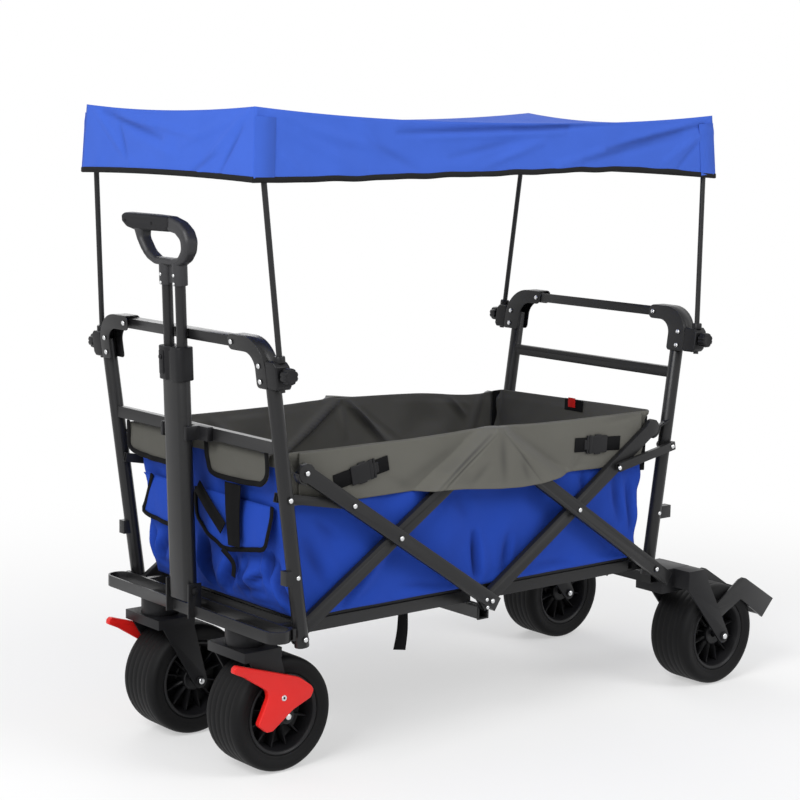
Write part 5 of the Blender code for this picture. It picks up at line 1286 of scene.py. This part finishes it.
class CART_OT_make_fittings(bpy.types.Operator):
    """Make the red brake levers, the pull handle's grip and the ribbed clamp knobs"""

    bl_idname = "cart.make_fittings"
    bl_label = "Make fittings"

    def execute(self, context):
        standing = Matrix(((1, 0, 0), (0, 0, -1), (0, 1, 0))).to_4x4()
        for side, tag in SIDES:
            low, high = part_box("brake_lever_" + tag)
            outline = filleted(LEVER[::-1], LEVER_ROUND[::-1])
            lever = cut_plate("red_lever_" + tag, [outline], high.y - low.y, 0.0022)
            middle = cart(LEVER_PIN[0], (low.y + high.y) / 2, LEVER_PIN[1])
            lever.data.transform(Matrix.Translation(middle) @ standing)
            settle(lever, "dyed_nylon", "front_brake_" + tag, "red_plastic", "brake_lever_" + tag)

        top = on_handle(GRIP_FOOT)
        upright = top @ Matrix(((0, 0, 1), (1, 0, 0), (0, 1, 0))).to_4x4()
        outlines = [filleted(GRIP_OUTLINE, GRIP_ROUND)[::-1], filleted(GRIP_HOLE, 0.01)]
        grip = cut_plate("grip_ring", outlines, GRIP_DEPTH, 0.0085, 6)
        grip.data.transform(upright)
        pad = cut_plate("grip_pad", [filleted(GRIP_PAD, 0.006)[::-1]], PAD_DEPTH, 0.0070, 5)
        settle(pad, "soft_grip_rubber", "pull_grip", "black_plastic", where=upright)
        screws = []
        for y, z in SCREW_PLACES:
            for way in (-1, 1):
                turn = Matrix.Rotation(math.radians(90 * way), 4, "Y")
                screw = turned("screw", GRIP_SCREW, 20)
                screw.data.transform(top @ Matrix.Translation((way * SCREW_FACE, y, z)) @ turn)
                screws.append(screw)
        settle(join_pieces("grip_screws", screws), "foamed_tyre_rubber", "pull_grip", "black_plastic")
        parts = [grip]
        for side, _ in SIDES:
            sleeve = turned("sleeve", SLEEVE, 32)
            sleeve.data.transform(on_handle(GRIP_FOOT, side * HANDLE_TUBE_Y))
            parts.append(sleeve)
        web = bevelled_box("web", (0.010, 0.018, 0.030), (0, 0, -0.014), 0.001)
        web.data.transform(top)
        grip = join_pieces("pull_grip_moulding", [*parts, web])
        settle(grip, "soft_grip_plastic", "pull_grip", "black_plastic", "handle_grip")

        knob = turned("knob", KNOB, 64)
        for point in knob.data.vertices:
            if math.hypot(point.co.x, point.co.y) > KNOB_CORE and point.co.z > KNOB_FOOT:
                angle = math.atan2(point.co.y, point.co.x)
                dent = 1 - KNOB_DENT * max(0.0, math.cos(angle * KNOB_LOBES)) ** 1.5
                point.co.x *= dent
                point.co.y *= dent
        for word in ("front", "rear"):
            for side, tag in SIDES:
                low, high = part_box(f"knob_{word}_{tag}")
                start = (low.x + high.x) / 2, (low.y if side > 0 else high.y), (low.z + high.z) / 2
                piece = copy_piece(knob, f"ribbed_knob_{word}_{tag}", along_y(start, side))
                settle_plastic(piece, f"body_knob_{word}_{tag}", f"knob_{word}_{tag}")
        remove_pieces(knob)
        return {"FINISHED"}


# Corner elbows and collar

ELBOW_HALF_DEPTH = 0.0146
ELBOW_CENTRE = (0.1950, 0.6960)
ELBOW_OUTER = 0.0550
CHEEK_THICKNESS = 0.0022
CLAMP_OUTLINE = metres((249, 670), (274, 670), (279, 676), (279, 708), (272, 715), (249, 715))
CLAMP_DEPTH = 0.0290
BOSS_PLACE = (0.2705, 0.6940, 0)
CLAMP_BOSS = metres((0, 0), (12.5, 0), (12.5, 7), (11.2, 8.5), (0, 8.5))
POLE_RING = metres((5, 0), (9.2, 0), (9.2, 8.5), (8.2, 10.5), (5, 10.5))
POLE_RING_Z = 0.7135
COLLAR_HALF = metres((1, 12), (8, 16.8), (33.8, 16.8), (33.8, -16.8), (8, -16.8), (1, -12))
COLLAR_HEIGHT = 0.0570
# how far the collar's middle lies up the handle from the tilt bolt
COLLAR_UP = 0.389
COLLAR_ROUND = [0.003, 0.003, 0.013, 0.013, 0.003, 0.003]
COLLAR_BUTTON = metres((0, 0), (4.2, 0), (4.2, 2.4), (3.4, 3.2), (0, 3.2))


def arc(centre, radius, start, end, steps=12):
    """Places on an arc, its angles in degrees."""
    angles = np.radians(np.linspace(start, end, steps))
    return [(centre[0] + radius * math.cos(a), centre[1] + radius * math.sin(a)) for a in angles]


def elbow_outline(inner_y):
    """A corner elbow's outline, anticlockwise, y outward and z up; its foot reaches inward to inner_y."""
    made = arc(ELBOW_CENTRE, ELBOW_OUTER, 0, 90)
    made += arc((0.1620, 0.7410), 0.0100, 90, 180, 6) + arc((0.1620, 0.7350), 0.0100, 180, 270, 6)
    made += arc((inner_y - 0.026, 0.699), 0.0260, 90, 0) + arc((inner_y + 0.007, 0.6760), 0.0070, 180, 270, 6)
    return made + arc((0.2450, 0.6740), 0.0050, 270, 360, 4)


def elbow(inner_y):
    """A channel elbow: two cheeks and the bent web between them."""
    parts = []
    for way in (-1, 1):
        cheek = cut_plate("cheek", [elbow_outline(inner_y)], CHEEK_THICKNESS, 0.0009)
        cheek.data.transform(Matrix.Translation((0, 0, way * (ELBOW_HALF_DEPTH - CHEEK_THICKNESS / 2))))
        parts.append(cheek)
    path = [(0.2500, 0.6730)] + arc(ELBOW_CENTRE, ELBOW_OUTER, 0, 90, 20) + [(0.1600, 0.7510)]
    path = np.array([(y, z, 0.0) for y, z in path])
    ahead = np.gradient(path, axis=0)
    normals = np.stack([ahead[:, 1], -ahead[:, 0], 0 * ahead[:, 0]], axis=-1)
    normals /= np.linalg.norm(normals, axis=1)[:, None]
    parts.append(tape("web", path - normals * 0.0027, normals, ELBOW_HALF_DEPTH * 2 - 0.0010, 0.0026))
    return join_pieces("corner_elbow", parts)


def leaned(end, side):
    """A matrix that takes (y outward, z up, depth) to a leaning frame's corner."""
    start = end * (HALF_SPAN - LOW_Z * POST_LEAN) + SHIFT
    return Matrix(((0, POST_LEAN * end, 1, start), (side, 0, 0, 0), (0, 1, 0, 0), (0, 0, 0, 1)))


def pole_ends(name):
    """The middles of a canopy pole's foot and head."""
    places = [v.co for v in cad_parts[name].data.vertices]
    low, high = min(p.z for p in places), max(p.z for p in places)
    foot = [p for p in places if p.z < low + 0.012]
    head = [p for p in places if p.z > high - 0.012]
    return sum(foot, Vector()) / len(foot), sum(head, Vector()) / len(head)


class CART_OT_make_corners(bpy.types.Operator):
    """Make the four corner elbows with their pole clamps, and the pull handle's collar"""

    bl_idname = "cart.make_corners"
    bl_label = "Make corners"

    def execute(self, context):
        elbows = {"front": elbow(0.2215), "rear": elbow(0.2080)}
        block = cut_plate("clamp_block", [filleted(CLAMP_OUTLINE, 0.004)], CLAMP_DEPTH, 0.0030, 4)
        boss = turned("boss", CLAMP_BOSS, 40)
        turn = Matrix.Rotation(math.radians(90), 4, "Y")
        boss.data.transform(Matrix.Translation(BOSS_PLACE) @ turn)
        clamp = join_pieces("pole_clamp", [block, boss])
        for word, end in (("front", -1), ("rear", 1)):
            for side, tag in SIDES:
                corner = copy_piece(elbows[word], f"{word}_corner_{tag}", leaned(end, side))
                settle(corner, "powder_coated_steel", word, "coated_steel", f"{word}_elbow_{tag}")
                holder = copy_piece(clamp, f"{word}_pole_clamp_{tag}", leaned(end, side))
                settle_plastic(holder, word)
                for thing in (corner, holder):
                    edit_all(thing, CONSISTENT)
                foot, head = pole_ends(f"pole_{word}_{tag}")
                up = (head - foot).normalized()
                where = facing(foot + up * ((POLE_RING_Z - foot.z) / up.z), up, (1, 0, 0))
                settle_plastic(turned(f"{word}_pole_ring_{tag}", POLE_RING, 32), word, where=where)
        remove_pieces(*elbows.values(), clamp)

        outline = COLLAR_HALF + [(-x, y) for x, y in reversed(COLLAR_HALF)]
        outline = filleted(outline, COLLAR_ROUND + COLLAR_ROUND[::-1])
        body = cut_plate("collar", [outline[::-1]], COLLAR_HEIGHT, 0.0016)
        latch = bevelled_box("latch", (0.0130, 0.0030, 0.0400), (0.0185, 0.0172, 0.001), 0.0012)
        button = turned("button", COLLAR_BUTTON, 28)
        button.data.transform(along_y((0.0185, 0.0180, 0.010)))
        collar = join_pieces("pull_collar_moulding", [body, latch, button])
        where = on_handle(COLLAR_UP) @ Matrix.Rotation(math.radians(90), 4, "Z")
        settle_plastic(collar, "pull_handle", "pull_collar", where=where)
        return {"FINISHED"}


# Rivets and bolts

RIVET = (0.0042, 0.0016)
HEAD_GAP = 0.0016
ELBOW_RIVETS = metres((233.5, 680), (233.5, 705.5), (163, 738))
AXLE_END = (0.0056, 0.0024)
AXLE_REACH = {"front": 0.0585, "rear": 0.0632}
# how far the grip sleeves' rivets lie up the handle, and in front of its axis
SLEEVE_RIVETS = (0.523, 0.537)
SLEEVE_FACE = 0.0132
LEVER_SCREW = metres((2.2, 0), (5.2, 0), (4.8, 1.2), (2.2, 1.2))


def rivet_places():
    """Every zinc rivet of the frame: body, cart place, the way it looks, and its radius and height."""
    made = []
    outside = OUTER_ARM + HALF_ARM
    face = outside + HEAD_GAP
    front_post = FRONT_POST_Y + POST_RADIUS
    cross = HALF_SPAN / 2
    link = post_x(LINK_POST_Z)
    lean = math.atan(POST_LEAN)
    tip = (0.4145, arm_z(0.4145))
    for side, _ in SIDES:
        for body, x, z, y, size in (
            ("arms_a", -0.0125, LOW_Z + 0.004, outside, (0.0034, 0.0014)),
            ("arms_a", -0.0105, LOW_Z - 0.0105, outside, (0.0034, 0.0014)),
            ("arms_a", -tip[0], tip[1], face, RIVET),
            ("arms_a", -LINK_X, arm_z(LINK_X), face, RIVET),
            ("arms_a", -cross, arm_z(cross), face, RIVET),
            ("arms_a", 0.0, LOW_Z, face, RIVET),
            ("arms_c", cross, arm_z(cross), face, RIVET),
            ("front", -HALF_SPAN, LOW_Z, front_post + HEAD_GAP, RIVET),
            ("rear", HALF_SPAN, LOW_Z, face + 0.0003, RIVET),
            ("rear", 0.4405, 0.357, REAR_POST_Y + POST_RADIUS, (0.0038, 0.0016)),
            ("front", -0.4405, 0.357, front_post, (0.0038, 0.0016)),
            ("links_front", -link, LINK_POST_Z, front_post + 0.0003 + HEAD_GAP, RIVET),
            ("links_rear", link, LINK_POST_Z, outside - 0.0002, (0.0042, 0.0022)),
            ("links_rear", LINK_X, arm_z(LINK_X), outside - 0.0002, (0.0042, 0.0022)),
        ):
            made.append((body, (x, side * y, z), (0, side, 0), size))
        inside = INNER_ARM - HALF_ARM - HEAD_GAP
        made.append(("arms_d", (tip[0], side * inside, tip[1]), (0, -side, 0), (0.0042, 0.0014)))
        for body, end in (("front", -1), ("rear", 1)):
            for y, z in ELBOW_RIVETS:
                for way in (-1, 1):
                    x = end * post_x(z) + way * (POST_RADIUS + 0.0021 + HEAD_GAP) / math.cos(lean)
                    normal = (way * math.cos(lean), 0, -way * end * math.sin(lean))
                    made.append((body, (x, side * y, z), normal, (0.0044, 0.0018)))
    return made


class CART_OT_make_rivets(bpy.types.Operator):
    """Set the zinc rivets, bolts and nuts"""

    bl_idname = "cart.make_rivets"
    bl_label = "Make rivets"

    def execute(self, context):
        deselect()
        bpy.ops.mesh.primitive_uv_sphere_add(segments=16, ring_count=10, radius=1, location=(0, 0, 0))
        dome = name_newest("dome")
        cut = {"plane_co": (0, 0, 0), "plane_no": (0, 0, 1), "use_fill": True, "clear_inner": True}
        edit_all(dome, (bpy.ops.mesh.bisect, cut))
        smooth_by_angle(dome, 50)
        groups = {}

        def add_dome(body, place, normal, size, up=(0.3, 0.1, 1)):
            shape = Matrix.Diagonal((size[0], size[0], size[1], 1))
            groups.setdefault(body, []).append(copy_piece(dome, "rivet", facing(place, normal, up) @ shape))

        for body, place, normal, size in rivet_places():
            add_dome(body, cart(*place), normal, size)
        for side, tag in SIDES:
            for word, x, y in AXLES:
                for way in (-1, 1):
                    place = cart(x, side * y + way * AXLE_REACH[word], WHEEL_RADIUS)
                    add_dome("rear" if word == "rear" else "caster_" + tag, place, (0, way, 0), AXLE_END)
            low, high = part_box("brake_lever_" + tag)
            ring = turned("lever_screw", LEVER_SCREW, 24)
            face = low.y if side < 0 else high.y
            ring.data.transform(along_y(cart(LEVER_PIN[0], face, LEVER_PIN[1]), side))
            groups.setdefault("front_brake_" + tag, []).append(ring)
        for distance in SLEEVE_RIVETS:
            for side, _ in SIDES:
                place = up_handle(distance, -SLEEVE_FACE, side * HANDLE_TUBE_Y)
                add_dome("pull_grip", place, (-1, 0, -HANDLE_LEAN), (0.0030, 0.0014), (0, 0, 1))
        for body, pieces in groups.items():
            settle(join_pieces("zinc_" + body, pieces), "zinc_plating", body, "coated_steel")
        remove_pieces(dome)
        return {"FINISHED"}


# Stage

CAMERA_TARGET = (-0.006538, 0.012142, 0.581882)
LAMP_TARGET = (0, 0, 0.5)
# the floor's glow by the distance from its middle
FLOOR_FADE = {
    "From Min": 0.6,
    "From Max": 2.2,
    "To Min": 0.45,
    "To Max": 1.0,
    "interpolation_type": "SMOOTHSTEP",
}
# name, place, size and power
LAMPS = (
    ("key_lamp", (-3.7, -1.4, 3.1), 2.0, 138.0),
    ("fill_lamp", (1.4, -3.6, 3.3), 2.0, 74.0),
    ("back_lamp", (1.2, 3.4, 2.6), 2.4, 40.0),
)


def shown_white(tree):
    """A socket that is 1 where the camera, a mirror or a clear piece looks at the background."""
    rays = add_node(tree, "LightPath").outputs
    direct = add_node(
        tree, "Math", {"operation": "MAXIMUM"}, {0: rays["Is Camera Ray"], 1: rays["Is Transmission Ray"]}
    )
    every = {0: direct.outputs[0], 1: rays["Is Glossy Ray"]}
    return add_node(tree, "Math", {"operation": "MAXIMUM"}, every).outputs[0]


def mix_and_show(tree, kind, share, first, second):
    """The mix of two shaders as what a material or a world shows."""
    mixed = add_node(tree, "MixShader", (), {0: share, 1: first.outputs[0], 2: second.outputs[0]})
    add_node(tree, kind, (), {"Surface": mixed.outputs[0]})


class CART_OT_set_stage(bpy.types.Operator):
    """Set the camera, the soft lamps, the white background and the pale floor"""

    bl_idname = "cart.set_stage"
    bl_label = "Set stage"

    def execute(self, context):
        stage = context.scene.cart_stage
        turn, tip, roll = (math.radians(a) for a in (stage.azimuth, stage.elevation, stage.roll))
        back = Vector((math.sin(turn) * math.cos(tip), -math.cos(turn) * math.cos(tip), math.sin(tip)))
        right = Vector((math.cos(turn), math.sin(turn), 0))
        up = back.cross(right)
        side = right * math.cos(roll) + up * math.sin(roll)
        above = up * math.cos(roll) - right * math.sin(roll)
        bpy.ops.object.camera_add()
        camera = bpy.context.object
        camera.name = "camera"
        camera.data.lens = stage.lens
        camera.data.sensor_width = 36.0
        place = Matrix.Translation(cart(*CAMERA_TARGET) + back * stage.distance)
        camera.matrix_world = place @ Matrix((side, above, back)).transposed().to_4x4()
        context.scene.camera = camera
        for name, place, size, power in LAMPS:
            bpy.ops.object.light_add(type="AREA", location=place)
            lamp = bpy.context.object
            lamp.name = name
            lamp.data.energy = power
            lamp.data.size = size
            lamp.rotation_euler = (Vector(place) - cart(*LAMP_TARGET)).to_track_quat("Z", "Y").to_euler()

        world = bpy.data.worlds.new("studio")
        context.scene.world = world
        world.use_nodes = True
        tree = world.node_tree
        tree.nodes.clear()
        soft = add_node(tree, "Background", {"Color": WHITE, "Strength": 0.50})
        white = add_node(tree, "Background", {"Color": WHITE, "Strength": 1.0})
        mix_and_show(tree, "OutputWorld", shown_white(tree), soft, white)

        deselect()
        bpy.ops.mesh.primitive_circle_add(vertices=96, radius=9, fill_type="NGON", location=(0, 0, 0))
        floor = name_newest("studio_floor")
        bpy.ops.object.mode_set(mode="EDIT")
        bpy.ops.mesh.inset(thickness=6)
        bpy.ops.object.mode_set(mode="OBJECT")
        # matt near the cart, and fading into the white background around it
        made = bpy.data.materials.new("pale_floor")
        made.use_nodes = True
        tree = made.node_tree
        tree.nodes.clear()
        place = add_node(tree, "TexCoord").outputs["Object"]
        far = add_node(tree, "VectorMath", {"operation": "LENGTH"}, {0: place}).outputs["Value"]
        fade = add_node(tree, "MapRange", FLOOR_FADE, {"Value": far}).outputs["Result"]
        share = add_node(tree, "Math", {"operation": "MULTIPLY"}, {0: fade, 1: shown_white(tree)}).outputs[0]
        matt = add_node(tree, "BsdfDiffuse", {"Color": (*stage.floor, 1)})
        glow = add_node(tree, "Emission", {"Color": WHITE, "Strength": 1.0})
        mix_and_show(tree, "OutputMaterial", share, matt, glow)
        floor.data.materials.append(made)
        context.scene.view_settings.view_transform = "Standard"
        return {"FINISHED"}


# Panel and registering

OPERATORS = (
    CART_OT_mix_finishes,
    CART_OT_finish_frame,
    CART_OT_make_canopy,
    CART_OT_make_tub,
    CART_OT_make_front_cloth,
    CART_OT_make_buckles,
    CART_OT_make_wheels,
    CART_OT_make_fittings,
    CART_OT_make_corners,
    CART_OT_make_rivets,
    CART_OT_set_stage,
)
SETTINGS = (("cart_cloth", ClothSettings), ("cart_hard", HardSettings), ("cart_stage", StageSettings))


class CART_PT_panel(bpy.types.Panel):
    """The cart's settings and the steps that make its looks"""

    bl_label = "Camping cart"
    bl_idname = "CART_PT_panel"
    bl_space_type = "VIEW_3D"
    bl_region_type = "UI"
    bl_category = "Cart"

    def draw(self, context):
        layout = self.layout
        for attribute, group in SETTINGS:
            settings = getattr(context.scene, attribute)
            column = layout.column()
            for name in group.__annotations__:
                column.prop(settings, name)
        for operator in OPERATORS:
            layout.operator(operator.bl_idname)


def register():
    for _, group in SETTINGS:
        bpy.utils.register_class(group)
    for operator in OPERATORS:
        bpy.utils.register_class(operator)
    bpy.utils.register_class(CART_PT_panel)
    for attribute, group in SETTINGS:
        setattr(bpy.types.Scene, attribute, bpy.props.PointerProperty(type=group))


def unregister():
    for attribute, _ in SETTINGS:
        delattr(bpy.types.Scene, attribute)
    bpy.utils.unregister_class(CART_PT_panel)
    for operator in reversed(OPERATORS):
        bpy.utils.unregister_class(operator)
    for _, group in reversed(SETTINGS):
        bpy.utils.unregister_class(group)


def main():
    register()
    bpy.ops.cart.mix_finishes()
    bpy.ops.cart.finish_frame()
    bpy.ops.cart.make_canopy()
    bpy.ops.cart.make_tub()
    bpy.ops.cart.make_front_cloth()
    bpy.ops.cart.make_buckles()
    bpy.ops.cart.make_wheels()
    bpy.ops.cart.make_fittings()
    bpy.ops.cart.make_corners()
    bpy.ops.cart.make_rivets()
    bpy.ops.cart.set_stage()


if __name__ == "__main__":
    main()
